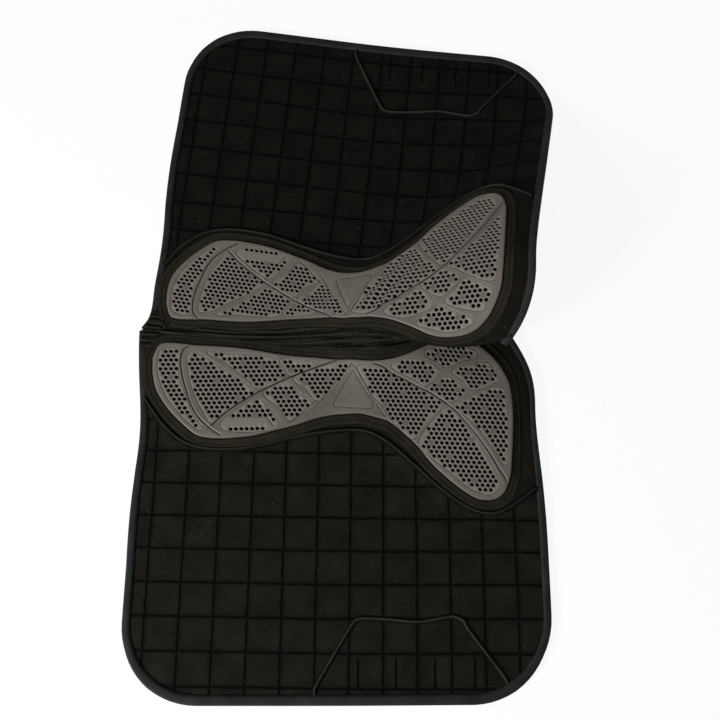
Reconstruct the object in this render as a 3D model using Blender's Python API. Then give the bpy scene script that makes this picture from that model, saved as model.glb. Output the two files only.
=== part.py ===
"""Dressage saddle pad, opened out with its inner side up.

Each half is drawn as a flat pattern: u runs from the rear edge to the front, v runs outwards
from the spine seam. Every piece is cut from that pattern along the quilting grid, and is then
bent into its folds by one drape function, so that the layers nest. Lengths are in metres.
"""
import math

import bmesh
import bpy
from mathutils import Matrix, Vector, geometry

# Outline of one half
PANEL_LENGTH = 0.638
PANEL_DROP = 0.574
REAR_CORNER_RADIUS = 0.113
FRONT_CORNER_RADIUS = 0.116
REAR_HOLLOW = 0.010
REAR_HOLLOW_V = 0.170
REAR_HOLLOW_REACH = 0.100
REAR_TAPER = 0.005
FRONT_SWEEP = 0.040
FRONT_SWEEP_DEPTH = 0.112
FRONT_TAPER = 0.0017
TAPER_FROM = 0.230
TAPER_LENGTH = 0.150
FAR_BOW = 0.0045
FAR_BOW_FROM = 0.300
FAR_BOW_LENGTH = 0.200
WITHER_RISE = 0.046
WITHER_FROM_FRONT = 0.108
WITHER_REACH = 0.100

# How the two halves lie to each other
SPLAY = math.radians(2.6)
SPINE_SET_IN = 0.0036
SEAM_GAP = 0.0020

# Quilting
QUILT_PITCH = 0.050
QUILT_START = {"left": (0.038, 0.0), "right": (0.0358, 0.040)}

# Layers, as heights above the ground that the pad lies on
COVER_HEIGHT = 0.0016
COVER_THICKNESS = 0.0010
LAYER_GAP = 0.0003
WADDING_AT_STITCH = 0.0027
WADDING_UNDER_GEL = 0.0051
WADDING_PUFF = 0.0063
LINING_THICKNESS = 0.0010
BAND_THICKNESS = 0.0012
GEL_THICKNESS = 0.0050
STRIP_THICKNESS = 0.0010

# Gel insert
GEL_WIDTH = 0.2620
GEL_FROM_REAR = 0.0255
GEL_FROM_FRONT = 0.0470
GEL_FROM_SEAM = 0.0070
GEL_EDGE_ROUND = 0.0015
GROOVE_WIDTH = 0.0040
GROOVE_DEPTH = 0.0024
FIELD_RECESS = 0.0007
FIELD_SLOPE = 0.0015

# Trims
BAND_WIDTH = 0.015
PIPING_FROM_BAND = 0.0018
PIPING_WIDTH = 0.0050
PIPING_HEIGHT = 0.0026
PIPING_CLEARANCE = 0.0008
BINDING_WIDTH = 0.0120
BINDING_THICKNESS = 0.0010
BINDING_CLEARANCE = 0.0008
BINDING_TAIL = 0.016
BINDING_END_GAP = 0.0010
EDGE_INSET = 0.0005
BAND_FROM_SEAM = 0.0045
STRIP_CLEARANCE = 0.0004
STRIP_RIB = 0.0008
STRIP_REACH = 0.034
TAPE_WIDTH = 0.024
TAPE_SET_IN = 0.026
TAPE_CLEARANCE = 0.0007
TAPE_THICKNESS = 0.0008
TAPE_RISE = 0.010
TAPE_LEAN = 0.4

# Girth patch and keeper on the outer face
PATCH_LIFT = 0.0020
PATCH_THICKNESS = 0.0011
PATCH_FROM_REAR = 0.288
PATCH_LENGTH = 0.278
PATCH_HEIGHT = 0.118
PATCH_SHOULDER = 0.060
PATCH_DIP = 0.006
KEEPER_FROM_REAR = 0.346
KEEPER_LENGTH = 0.178
KEEPER_WIDTH = 0.045
KEEPER_FROM_EDGE = 0.022
KEEPER_THICKNESS = 0.0014
KEEPER_TACK = 0.0004
KEEPER_ROWS = 4
TACK_WIDTH = 0.004

# Folds in which the pad lies
WING_SLOPE = 0.397
WING_FOLD_START = 0.2142
WING_FOLD_SLANT = 0.855
WING_FOLD_SOFTNESS = 0.014
WING_CREST_V = 0.1543
WING_DROOP = 0.188
WING_DRAWN_BACK = 0.0043
WING_DRAWN_HEIGHT = 0.035
TENT_HEIGHT = 0.016
TENT_U = 0.370
TENT_LENGTH = 0.095
TENT_REACH = 0.050
LOBE_HEIGHT = 0.012
LOBE_U = 0.545
LOBE_V = 0.125
LOBE_LENGTH = 0.090
LOBE_REACH = 0.095
FRONT_DRAWN_IN = 0.009
FRONT_DRAWN_LENGTH = 0.048
FRONT_DRAWN_V = 0.120
FRONT_DRAWN_REACH = 0.110

# How the cloth is pulled along itself as it lies: a place in the pattern and the shift there
TUG_REACH = (0.150, 0.130)
TUGS = {
    "left": [((0.060, 0.030), (-0.0019, 0.0)), ((0.060, 0.190), (0.0021, 0.0)),
             ((0.320, 0.430), (0.0, 0.0013)), ((0.590, 0.030), (-0.0033, 0.0063)),
             ((0.590, 0.190), (-0.0048, 0.0015)), ((0.590, 0.430), (0.0, -0.0023))],
    "right": [((0.060, 0.030), (0.0095, 0.0009)), ((0.060, 0.190), (-0.0018, -0.0059)),
              ((0.060, 0.430), (-0.0019, 0.0)), ((0.320, 0.030), (-0.0064, 0.0036)),
              ((0.320, 0.190), (-0.0014, -0.0034)), ((0.320, 0.430), (-0.0012, -0.0077)),
              ((0.590, 0.030), (-0.0034, 0.0041)), ((0.590, 0.190), (-0.0056, 0.0031)),
              ((0.590, 0.430), (0.0021, 0.0103))]}

# Hinge line of the spine fold, as points over the rear and over the withers
HINGE_REAR = Vector((-0.318, 0.0, 0.0145))
HINGE_FRONT = Vector((0.202, -0.026, 0.062))

# Sampling
OUTLINE_STEP = 0.060
CURVE_STEP = 0.024
ARC_STEP = math.radians(18)
DRAPE_STEPS = 48
FLATNESS = 0.00005
WELD = 0.000002

# Gel outline and tread in millimetres from the gel's rear and spine-side limits
GEL_SPAN = (565.5, 262.0)
GEL_OUTLINE = [
    (12.5, 19.5), (32, 17), (72, 18.5), (162, 26), (262, 36), (325, 39), (370, 36), (403, 25),
    (447, 5), (468, 0), (492, 1), (513, 7), (536, 24), (551, 48), (562, 84), (565.5, 126),
    (561, 192), (549, 245), (538, 258), (521.5, 261.5), (503.5, 258), (459, 226), (414.5, 177),
    (370, 140.5), (326, 128), (282.5, 132), (212.5, 152), (132.5, 169), (90, 170), (70.5, 164),
    (26.5, 123), (4.5, 81), (0, 53), (2.5, 31)]
GEL_GROOVES = [
    [(52, 25), (45.5, 32), (43, 49), (47.5, 83), (57.5, 111), (72.5, 135), (92.5, 156),
     (104, 164)],
    [(96, 160), (122.5, 131), (162.5, 98), (210.5, 72), (262.5, 50), (300, 41.5)],
    [(346, 42.5), (366, 51.5), (388, 63.5), (412.5, 77), (437, 91.5), (462.5, 110),
     (481.5, 124), (499, 143.5), (514.5, 166), (528, 188), (541.5, 212.5), (551, 230)]]
GEL_FIELDS = [
    [(320.5, 47), (347.5, 49), (387.5, 69), (437.5, 97), (457.5, 110), (409.5, 165),
     (382.5, 145), (362.5, 110), (337.5, 81)],
    [(464.5, 117), (490.5, 143), (517.5, 178), (541, 222), (540.5, 243), (524.5, 251),
     (502.5, 247), (472.5, 225), (442.5, 198), (420, 178)],
    [(476, 110), (517.5, 88), (547.5, 77), (553.5, 93), (555.5, 133), (554.5, 173),
     (551, 205), (532.5, 176), (510.5, 143), (491, 124)],
    [(462.5, 59), (492.5, 86), (465.5, 103), (432.5, 81)],
    [(428.5, 26), (444.5, 16), (467.5, 10), (492.5, 12), (509.5, 21), (502.5, 33),
     (464.5, 48), (452.5, 44)],
    [(374.5, 47), (392.5, 39), (409.5, 35), (452.5, 53), (428, 76)],
    [(472.5, 53), (522.5, 37), (532.5, 43), (543.5, 65), (537.5, 71), (502.5, 81)],
    [(87.5, 31), (157.5, 36), (192.5, 41), (204.5, 65), (169.5, 88)],
    [(59.5, 37), (72.5, 37), (157, 97), (98, 142), (78.5, 129), (64.5, 93)],
    [(14.5, 31), (37, 30), (36, 68), (49.5, 106), (79, 155), (70.5, 157), (42.5, 131),
     (17.5, 91), (9.5, 63)],
    [(163, 107), (184.5, 127), (197.5, 149), (177.5, 156), (127.5, 161), (112.5, 155),
     (110.5, 148), (126, 133)],
    [(209.5, 80), (250.5, 111), (234.5, 126), (214.5, 141), (178.5, 97)],
    [(204.5, 45), (255, 46), (217.5, 63)],
    [(223, 73), (262.5, 55), (287.5, 46), (307.5, 49), (260.5, 107)]]

# Corded line round the gel's far side, from the same limits
GEL_PIPING = [
    (-13.5, 127), (8.5, 151), (31.5, 173), (72.5, 191), (112.5, 191), (162.5, 185),
    (212.5, 172), (262.5, 161), (312.5, 156), (342.5, 160), (372.5, 177), (412.5, 211),
    (452.5, 247), (487.5, 272), (512.5, 282), (537.5, 282), (565.5, 267), (596.5, 245)]

COLOURS = {
    "outer_cover": (0.030, 0.031, 0.032, 0.80, 0.0),
    "wadding": (0.55, 0.55, 0.53, 0.95, 0.0),
    "lining": (0.020, 0.020, 0.017, 0.85, 0.0),
    "gel": (0.36, 0.34, 0.30, 0.50, 0.0),
    "band": (0.030, 0.028, 0.022, 0.80, 0.0),
    "piping": (0.022, 0.022, 0.019, 0.75, 0.0),
    "binding": (0.075, 0.078, 0.082, 0.60, 0.0),
    "patch": (0.028, 0.029, 0.030, 0.80, 0.0),
    "webbing": (0.045, 0.047, 0.050, 0.70, 0.0),
    "strip": (0.024, 0.024, 0.021, 0.80, 0.0),
    "tape": (0.050, 0.052, 0.056, 0.70, 0.0)}


def clear_scene():
    for thing in list(bpy.data.objects):
        bpy.data.objects.remove(thing, do_unlink=True)


def cloth_material(name):
    red, green, blue, roughness, metallic = COLOURS[name]
    material = bpy.data.materials.new(name)
    material.use_nodes = True
    shader = material.node_tree.nodes["Principled BSDF"]
    shader.inputs["Base Color"].default_value = (red, green, blue, 1.0)
    shader.inputs["Roughness"].default_value = roughness
    shader.inputs["Metallic"].default_value = metallic
    return material


def bell(distance, reach):
    return math.exp(-(distance / reach) ** 2)


def soft_ramp(distance, softness):
    """Zero before a fold line and a straight slope after it, rounded at the line."""
    ratio = distance / softness
    if ratio > 30.0:
        return distance
    return softness * math.log1p(math.exp(ratio))


# Outline of the pattern

def spine_v(u):
    return SPINE_SET_IN + math.tan(SPLAY) * u


def wither_u():
    return PANEL_LENGTH - WITHER_FROM_FRONT


def seam_v(u):
    """The seam follows the spine line and swings across it in the rise over the withers."""
    return spine_v(u) + SEAM_GAP / 2 - WITHER_RISE * bell(u - wither_u(), WITHER_REACH)


def ramp(value, start, length):
    return min(max((value - start) / length, 0.0), 1.0)


def rear_u(v):
    hollow = REAR_HOLLOW * bell(v - REAR_HOLLOW_V, REAR_HOLLOW_REACH)
    return hollow + REAR_TAPER * ramp(v, TAPER_FROM, TAPER_LENGTH)


def front_u(v):
    sweep = FRONT_SWEEP * (1 - ramp(v, 0.0, FRONT_SWEEP_DEPTH)) ** 2
    if v < 0:
        sweep = FRONT_SWEEP * (1 - v / FRONT_SWEEP_DEPTH) ** 2
    return PANEL_LENGTH - sweep - FRONT_TAPER * ramp(v, TAPER_FROM, TAPER_LENGTH)


def far_v(u):
    return PANEL_DROP - FAR_BOW * max((u - FAR_BOW_FROM) / FAR_BOW_LENGTH, 0.0) ** 2


def spread(start, stop, step):
    count = max(1, math.ceil(abs(stop - start) / step - 1e-6))
    return [start + (stop - start) * i / count for i in range(count + 1)]


def neck_corner():
    """The point where the front edge meets the seam."""
    u = PANEL_LENGTH - FRONT_SWEEP
    for _ in range(20):
        u = front_u(seam_v(u))
    return u, seam_v(u)


def seam_edge():
    end, _ = neck_corner()
    start = rear_u(seam_v(0.0))
    return [(u, seam_v(u)) for u in spread(start, end, OUTLINE_STEP / 2)]


def open_edge(step=OUTLINE_STEP):
    """From the neck corner down the front, round the far corners and up the rear."""
    _, neck_v = neck_corner()
    front_end = PANEL_DROP - FRONT_CORNER_RADIUS
    corner_u = front_u(front_end) - FRONT_CORNER_RADIUS
    points = [(front_u(v), v) for v in spread(neck_v, front_end, step)]
    for angle in spread(0.0, math.pi / 2, ARC_STEP)[1:]:
        points.append((corner_u + FRONT_CORNER_RADIUS * math.cos(angle),
                       front_end + FRONT_CORNER_RADIUS * math.sin(angle)))
    rear_start = PANEL_DROP - REAR_CORNER_RADIUS
    corner_u = rear_u(rear_start) + REAR_CORNER_RADIUS
    points += [(u, PANEL_DROP) for u in spread(points[-1][0], corner_u, step)[1:]]
    for angle in spread(math.pi / 2, math.pi, ARC_STEP)[1:]:
        points.append((corner_u + REAR_CORNER_RADIUS * math.cos(angle),
                       rear_start + REAR_CORNER_RADIUS * math.sin(angle)))
    points = [(u, v - (PANEL_DROP - far_v(u)) * ramp(v, TAPER_FROM, TAPER_LENGTH))
              for u, v in points]
    points += [(rear_u(v), v) for v in spread(rear_start, seam_v(0.0), step)[1:]]
    return points


def panel_outline(inset=EDGE_INSET):
    loop = seam_edge()[:-1] + open_edge()[:-1]
    return offset_loop(loop, -inset)


def turn(loop):
    """Twice the signed area, which is positive where the loop runs anticlockwise."""
    return sum(p[0] * q[1] - q[0] * p[1] for p, q in zip(loop, loop[1:] + loop[:1]))


def side_normals(points, closed):
    """The outward normals at the points of a path that runs anticlockwise."""
    count = len(points)
    normals = []
    for i in range(count):
        before = points[i - 1] if closed or i > 0 else points[i]
        after = points[(i + 1) % count] if closed or i < count - 1 else points[i]
        here = points[i]
        back = Vector((here[0] - before[0], here[1] - before[1]))
        ahead = Vector((after[0] - here[0], after[1] - here[1]))
        if back.length < 1e-9:
            back = ahead
        if ahead.length < 1e-9:
            ahead = back
        back.normalize()
        ahead.normalize()
        mean = back + ahead
        if mean.length < 1e-6:
            mean = ahead
        mean.normalize()
        stretch = 1 / max(0.5, mean.dot(ahead))
        normals.append((mean.y * stretch, -mean.x * stretch))
    return normals


def offset_loop(loop, distance):
    ordered = loop if turn(loop) > 0 else loop[::-1]
    normals = side_normals(ordered, True)
    moved = [(p[0] + n[0] * distance, p[1] + n[1] * distance) for p, n in zip(ordered, normals)]
    return moved


def smooth_curve(points, closed, step):
    """A Catmull-Rom curve through the points."""
    count = len(points)
    spans = count if closed else count - 1
    curve = []
    for i in range(spans):
        if closed:
            p0, p1, p2, p3 = (points[(i + k) % count] for k in (-1, 0, 1, 2))
        else:
            p0, p1, p2, p3 = (points[min(max(i + k, 0), count - 1)] for k in (-1, 0, 1, 2))
        length = math.dist(p1, p2)
        pieces = max(1, round(length / step))
        for j in range(pieces):
            t = j / pieces
            curve.append(tuple(
                0.5 * (2 * b + (c - a) * t + (2 * a - 5 * b + 4 * c - d) * t * t
                       + (3 * b - a - 3 * c + d) * t ** 3)
                for a, b, c, d in zip(p0, p1, p2, p3)))
    if not closed:
        curve.append(tuple(points[-1]))
    return curve


# Folds

def fold_height(side, u, v):
    if side == "right":
        rise = soft_ramp(u - WING_FOLD_START - WING_FOLD_SLANT * v, WING_FOLD_SOFTNESS)
        droop = bell(WING_CREST_V - v, WING_DROOP) if v < WING_CREST_V else 1.0
        return WING_SLOPE * rise * droop
    tent = TENT_HEIGHT * bell(u - TENT_U, TENT_LENGTH) * bell(v - spine_v(u), TENT_REACH)
    lobe = LOBE_HEIGHT * bell(u - LOBE_U, LOBE_LENGTH) * bell(v - LOBE_V, LOBE_REACH)
    return tent + lobe


def kept_length(side, u, v, along_u):
    """How far the cloth is drawn in by the folds between an outer edge and this point."""
    start = 0.0 if along_u else PANEL_DROP
    stop = u if along_u else v
    drawn = 0.0
    last = None
    for place in spread(start, stop, PANEL_LENGTH / DRAPE_STEPS):
        height = fold_height(side, place, v) if along_u else fold_height(side, u, place)
        if last is not None:
            run = place - last[0]
            climb = height - last[1]
            flat = math.sqrt(max(run * run - climb * climb, 0.0))
            drawn += abs(run) - flat
        last = (place, height)
    return drawn


def lay_out(side, along, across, height):
    """Turns pattern lengths from the middle of the seam into the pad's own frame."""
    x = along * math.cos(SPLAY) + across * math.sin(SPLAY)
    y = across * math.cos(SPLAY) - along * math.sin(SPLAY)
    return Vector((x, y if side == "right" else -y, height))


def tug(side, u, v):
    """How far the cloth is pulled along u and along v at a point."""
    pull_u = 0.0
    pull_v = 0.0
    for (centre_u, centre_v), (shift_u, shift_v) in TUGS[side]:
        share = bell(u - centre_u, TUG_REACH[0]) * bell(v - centre_v, TUG_REACH[1])
        pull_u += shift_u * share
        pull_v += shift_v * share
    return pull_u, pull_v


def flat_place(side, u, v):
    pull_u, pull_v = tug(side, u, v)
    return lay_out(side, u + pull_u - PANEL_LENGTH / 2,
                   v + pull_v - spine_v(PANEL_LENGTH / 2), 0.0)


def smooth_drape(side, u, v):
    """The place of a pattern point in the pad as it lies, and the height of its fold."""
    height = fold_height(side, u, v)
    drawn_u = kept_length(side, u, v, True)
    drawn_v = kept_length(side, u, v, False)
    if side == "right":
        drawn_u += WING_DRAWN_BACK * (1 - math.exp(-height / WING_DRAWN_HEIGHT))
    else:
        part = ramp(u, PANEL_LENGTH - FRONT_DRAWN_LENGTH, FRONT_DRAWN_LENGTH)
        drawn_u += FRONT_DRAWN_IN * part * bell(v - FRONT_DRAWN_V, FRONT_DRAWN_REACH)
    pull_u, pull_v = tug(side, u, v)
    return lay_out(side, u + pull_u - drawn_u - PANEL_LENGTH / 2,
                   v + pull_v + drawn_v - spine_v(PANEL_LENGTH / 2), height)


class Drape:
    """Bends one half on the triangles of its quilting grid, so that every layer nests."""

    def __init__(self, side):
        self.side = side
        self.origin_u, self.origin_v = QUILT_START[side]
        self.nodes = {}
        self.bends = {}

    def spot(self, i, j):
        return self.origin_u + i * QUILT_PITCH, self.origin_v + j * QUILT_PITCH

    def square(self, u, v):
        return (math.floor((u - self.origin_u) / QUILT_PITCH),
                math.floor((v - self.origin_v) / QUILT_PITCH))

    def node(self, i, j):
        if (i, j) not in self.nodes:
            self.nodes[i, j] = smooth_drape(self.side, *self.spot(i, j))
        return self.nodes[i, j]

    def bent(self, i, j):
        """Whether the four corners of a square have left the flat pattern."""
        if (i, j) not in self.bends:
            self.bends[i, j] = any(
                (self.node(i + a, j + b) - flat_place(self.side, *self.spot(i + a, j + b))).length
                > FLATNESS for a in (0, 1) for b in (0, 1))
        return self.bends[i, j]

    def locate(self, u, v):
        """The corners of the triangle round a point, with their shares."""
        i, j = self.square(u, v)
        x = (u - self.origin_u) / QUILT_PITCH - i
        y = (v - self.origin_v) / QUILT_PITCH - j
        if x >= y:
            return [((i, j), 1 - x), ((i + 1, j), x - y), ((i + 1, j + 1), y)]
        return [((i, j), 1 - y), ((i, j + 1), y - x), ((i + 1, j + 1), x)]

    def place(self, u, v, height):
        point = Vector((0.0, 0.0, height))
        for key, share in self.locate(u, v):
            point += self.node(*key) * share
        return point

    def level(self, u, v, node_level):
        return sum(node_level(*key) * share for key, share in self.locate(u, v))

    def tent(self, u, v):
        """One at the centre of a square and zero on its sides."""
        i, j = self.square(u, v)
        middle = self.spot(i + 0.5, j + 0.5)
        return 1 - 2 * max(abs(u - middle[0]), abs(v - middle[1])) / QUILT_PITCH

    def cut(self, bm, keep):
        """Cuts flat faces on the grid lines round the squares that keep() names."""
        us = [vert.co.x for vert in bm.verts]
        vs = [vert.co.y for vert in bm.verts]
        first = self.square(min(us), min(vs))
        last = self.square(max(us), max(vs))
        for axis in (0, 1):
            for k in range(first[axis] + 1, last[axis] + 1):
                self.cut_line(bm, axis, k, keep)
        for k in range(first[0] - last[1] - 1, last[0] - first[1] + 2):
            self.cut_line(bm, 2, k, keep)

    def cut_line(self, bm, axis, k, keep):
        """Axis 0 and 1 are the lines across u and v, and 2 is the diagonal of the squares."""
        chosen = []
        for face in bm.faces:
            low = self.square(min(v.co.x for v in face.verts) + EDGE_INSET / 2,
                              min(v.co.y for v in face.verts) + EDGE_INSET / 2)
            high = self.square(max(v.co.x for v in face.verts) - EDGE_INSET / 2,
                               max(v.co.y for v in face.verts) - EDGE_INSET / 2)
            if axis == 0:
                near = [(i, j) for i in (k - 1, k) for j in range(low[1], high[1] + 1)
                        if low[0] <= i <= high[0]]
            elif axis == 1:
                near = [(i, j) for i in range(low[0], high[0] + 1) for j in (k - 1, k)
                        if low[1] <= j <= high[1]]
            else:
                near = [(i, i - k) for i in range(low[0], high[0] + 1)
                        if low[1] <= i - k <= high[1]]
            if any(keep(*square) for square in near):
                chosen.append(face)
        if not chosen:
            return
        corner = self.spot(k if axis != 1 else 0, k if axis == 1 else 0)
        normal = ((1, 0, 0), (0, 1, 0), (1, -1, 0))[axis]
        geom = set(chosen)
        for face in chosen:
            geom.update(face.edges)
            geom.update(face.verts)
        bmesh.ops.bisect_plane(bm, geom=list(geom), dist=1e-6,
                               plane_co=(corner[0], corner[1], 0.0), plane_no=normal)


# Where the layers lie

def distance_to_path(point, path, closed):
    ends = path[1:] + path[:1] if closed else path[1:]
    best = 1.0
    for p, q in zip(path, ends):
        span = (q[0] - p[0], q[1] - p[1])
        size = span[0] ** 2 + span[1] ** 2
        share = 0.0
        if size > 0:
            share = ((point[0] - p[0]) * span[0] + (point[1] - p[1]) * span[1]) / size
            share = min(max(share, 0.0), 1.0)
        near = (p[0] + span[0] * share, p[1] + span[1] * share)
        best = min(best, math.dist(point, near))
    return best


def inside(point, loop):
    hit = False
    for p, q in zip(loop, loop[1:] + loop[:1]):
        if (p[1] > point[1]) != (q[1] > point[1]):
            cross = p[0] + (point[1] - p[1]) * (q[0] - p[0]) / (q[1] - p[1])
            if point[0] < cross:
                hit = not hit
    return hit


def gel_point(p):
    length = PANEL_LENGTH - GEL_FROM_REAR - GEL_FROM_FRONT
    return (GEL_FROM_REAR + p[0] * length / GEL_SPAN[0],
            GEL_FROM_SEAM + p[1] * GEL_WIDTH / GEL_SPAN[1])


def gel_outline(step=CURVE_STEP):
    loop = smooth_curve([gel_point(p) for p in GEL_OUTLINE], True, step)
    return loop if turn(loop) > 0 else loop[::-1]


class Layers:
    """Heights of the layers of one half over its quilting grid."""

    def __init__(self, drape):
        self.drape = drape
        self.gel = gel_outline()
        self.edge = panel_outline()
        self.patch = patch_outline()
        self.lines = [gel_piping_line(), patch_line(), band_outline(), inner_edge()]
        self.kinds = {}
        self.lifts = {}
        self.puffs = {}

    def near_gel(self, spot):
        reach = BAND_WIDTH + PIPING_WIDTH
        return inside(spot, self.gel) or distance_to_path(spot, self.gel, True) < reach

    def puffed(self, i, j):
        """A square swells where it is whole and no other seam crosses it."""
        if (i, j) not in self.puffs:
            corners = [self.drape.spot(i + a, j + b) for a in (0, 1) for b in (0, 1)]
            middle = self.drape.spot(i + 0.5, j + 0.5)
            whole = all(inside(c, self.edge) for c in corners) and not inside(middle, self.gel)
            reach = (QUILT_PITCH + PIPING_WIDTH) / 2
            self.puffs[i, j] = whole and not any(
                abs(p[0] - middle[0]) < reach and abs(p[1] - middle[1]) < reach
                for line in self.lines for p in smooth_curve(line, False, QUILT_PITCH / 8))
        return self.puffs[i, j]

    def cut_for_lining(self, i, j):
        return self.drape.bent(i, j) or any(
            self.puffed(i + a, j + b) for a in (-1, 0, 1) for b in (-1, 0, 1)) or any(
            self.near_gel(self.drape.spot(i + a, j + b)) for a in (0, 1) for b in (0, 1))

    def cut_for_cover(self, i, j):
        return self.drape.bent(i, j) or any(
            self.lift(i + a, j + b) > 0 for a in (0, 1) for b in (0, 1))

    def lift(self, i, j):
        """The cover rises over the patch and the webbing behind it."""
        if (i, j) not in self.lifts:
            spot = self.drape.spot(i, j)
            near = inside(spot, self.patch)
            near = near or distance_to_path(spot, self.patch, True) < 1.5 * QUILT_PITCH
            self.lifts[i, j] = PATCH_LIFT if near else 0.0
        return self.lifts[i, j]

    def cover_bottom(self, u, v):
        return COVER_HEIGHT + self.drape.level(u, v, self.lift)

    def cover_top(self, u, v):
        return self.cover_bottom(u, v) + COVER_THICKNESS

    def wadding_bottom(self, u, v):
        return self.cover_top(u, v) + LAYER_GAP

    def wadding_node(self, i, j):
        if (i, j) not in self.kinds:
            flat = self.near_gel(self.drape.spot(i, j))
            self.kinds[i, j] = (COVER_HEIGHT + COVER_THICKNESS + LAYER_GAP
                                + (WADDING_UNDER_GEL if flat else WADDING_AT_STITCH))
        return self.kinds[i, j]

    def wadding_top(self, u, v):
        puff = 0.0
        if self.puffed(*self.drape.square(u, v)):
            puff = (WADDING_PUFF - WADDING_AT_STITCH) * max(self.drape.tent(u, v), 0.0)
        return self.drape.level(u, v, self.wadding_node) + puff

    def lining_bottom(self, u, v):
        return self.wadding_top(u, v) + LAYER_GAP

    def lining_top(self, u, v):
        return self.lining_bottom(u, v) + LINING_THICKNESS

    def seat(self):
        """The height on which the gel and its band lie."""
        return (COVER_HEIGHT + COVER_THICKNESS + LAYER_GAP + WADDING_UNDER_GEL + LAYER_GAP
                + LINING_THICKNESS + LAYER_GAP)


# Solids

def new_object(name, bm, material, smooth):
    bmesh.ops.recalc_face_normals(bm, faces=bm.faces)
    mesh = bpy.data.meshes.new(name)
    bm.to_mesh(mesh)
    bm.free()
    if smooth:
        mesh.shade_smooth()
        mesh.set_sharp_from_angle(angle=math.radians(40))
    mesh.materials.append(material)
    thing = bpy.data.objects.new(name, mesh)
    bpy.context.collection.objects.link(thing)
    return thing


def flat_faces(loops):
    """Flat faces in the pattern, joined where their corners meet."""
    bm = bmesh.new()
    corners = {}
    for loop in loops:
        verts = []
        for u, v in loop:
            key = (round(u / WELD), round(v / WELD))
            if key not in corners:
                corners[key] = bm.verts.new((u, v, 0.0))
            if corners[key] not in verts:
                verts.append(corners[key])
        if len(verts) > 2:
            bm.faces.new(verts)
    return bm


def sheet(name, drape, loops, bottom, top, material, keep=None, puffed=None):
    """A cloth of the pattern inside the loops, between two heights."""
    bm = flat_faces(loops)
    drape.cut(bm, keep or drape.bent)
    if puffed:
        poke_puffs(bm, drape, puffed)
    result = bmesh.ops.extrude_face_region(bm, geom=bm.faces[:])
    upper = {item for item in result["geom"] if isinstance(item, bmesh.types.BMVert)}
    for vert in bm.verts:
        u, v = vert.co.x, vert.co.y
        height = top(u, v) if vert in upper else bottom(u, v)
        vert.co = drape.place(u, v, height)
    return new_object(name, bm, material, False)


def poke_puffs(bm, drape, puffed):
    """Gives each swollen square a corner at its centre, in place of its diagonal."""
    inner = []
    for edge in bm.edges:
        middle = (edge.verts[0].co + edge.verts[1].co) / 2
        square = drape.square(middle.x, middle.y)
        if drape.tent(middle.x, middle.y) > 0.5 and puffed(*square):
            inner.append(edge)
    bmesh.ops.dissolve_edges(bm, edges=inner, use_verts=False)
    whole = []
    for face in bm.faces:
        middle = face.calc_center_median()
        if drape.tent(middle.x, middle.y) > 0.9 and puffed(*drape.square(middle.x, middle.y)):
            whole.append(face)
    bmesh.ops.poke(bm, faces=whole)


def ring_quads(outer, inner):
    """A ring as separate quads between two loops of as many points."""
    count = len(outer)
    return [[outer[i], outer[(i + 1) % count], inner[(i + 1) % count], inner[i]]
            for i in range(count)]


def follow_bends(path, drape):
    """Adds a point wherever a path crosses a grid line on which its cloth is bent."""
    followed = []
    for p, q in zip(path, path[1:]):
        followed.append(p)
        shares = set()
        a = [(c - o) / QUILT_PITCH for c, o in zip(p, drape.spot(0, 0))]
        b = [(c - o) / QUILT_PITCH for c, o in zip(q, drape.spot(0, 0))]
        for start, stop in ((a[0], b[0]), (a[1], b[1]), (a[0] - a[1], b[0] - b[1])):
            for k in range(math.ceil(min(start, stop)), math.floor(max(start, stop)) + 1):
                if abs(stop - start) > 1e-6:
                    shares.add(round((k - start) / (stop - start), 5))
        for share in sorted(shares):
            spot = tuple(c + (d - c) * share for c, d in zip(p, q))
            chord = drape.place(*p, 0.0).lerp(drape.place(*q, 0.0), share)
            near = min(math.dist(spot, followed[-1]), math.dist(spot, q))
            if near > PIPING_WIDTH / 2 and (drape.place(*spot, 0.0) - chord).length > FLATNESS:
                followed.append(spot)
    followed.append(path[-1])
    return followed


def swept(name, drape, path, profile, material, smooth=True):
    """A profile of (offset to the side, height) pairs carried along an open path."""
    normals = side_normals(path, False)
    bm = bmesh.new()
    rings = []
    for (u, v), normal in zip(path, normals):
        ring = []
        for aside, height in profile(u, v):
            ring.append(bm.verts.new(
                drape.place(u + normal[0] * aside, v + normal[1] * aside, height)))
        rings.append(ring)
    size = len(rings[0])
    for here, there in zip(rings, rings[1:]):
        for k in range(size):
            bm.faces.new((here[k], here[(k + 1) % size], there[(k + 1) % size], there[k]))
    bm.faces.new(rings[0])
    bm.faces.new(rings[-1])
    return new_object(name, bm, material, smooth)


def cord_profile(layers):
    """A sewn cord on the lining: a flat foot with a half-round top."""
    half = PIPING_WIDTH / 2

    def profile(u, v):
        base = layers.lining_top(u, v) + PIPING_CLEARANCE
        points = [(-half, base), (half, base)]
        for angle in (36, 90, 144):
            radians = math.radians(angle)
            points.append((half * math.cos(radians), base + PIPING_HEIGHT * math.sin(radians)))
        return points

    return profile


def build_cover(side, drape, layers, material):
    return sheet(f"outer_cover_{side}", drape, [panel_outline()], layers.cover_bottom,
                 layers.cover_top, material, layers.cut_for_cover)


def build_wadding(side, drape, layers, material):
    return sheet(f"wadding_{side}", drape, [panel_outline()], layers.wadding_bottom,
                 layers.wadding_top, material,
                 lambda i, j: layers.cut_for_lining(i, j) or layers.cut_for_cover(i, j),
                 layers.puffed)


def build_lining(side, drape, layers, material):
    return sheet(f"lining_{side}", drape, [panel_outline()], layers.lining_bottom,
                 layers.lining_top, material, layers.cut_for_lining, layers.puffed)


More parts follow.
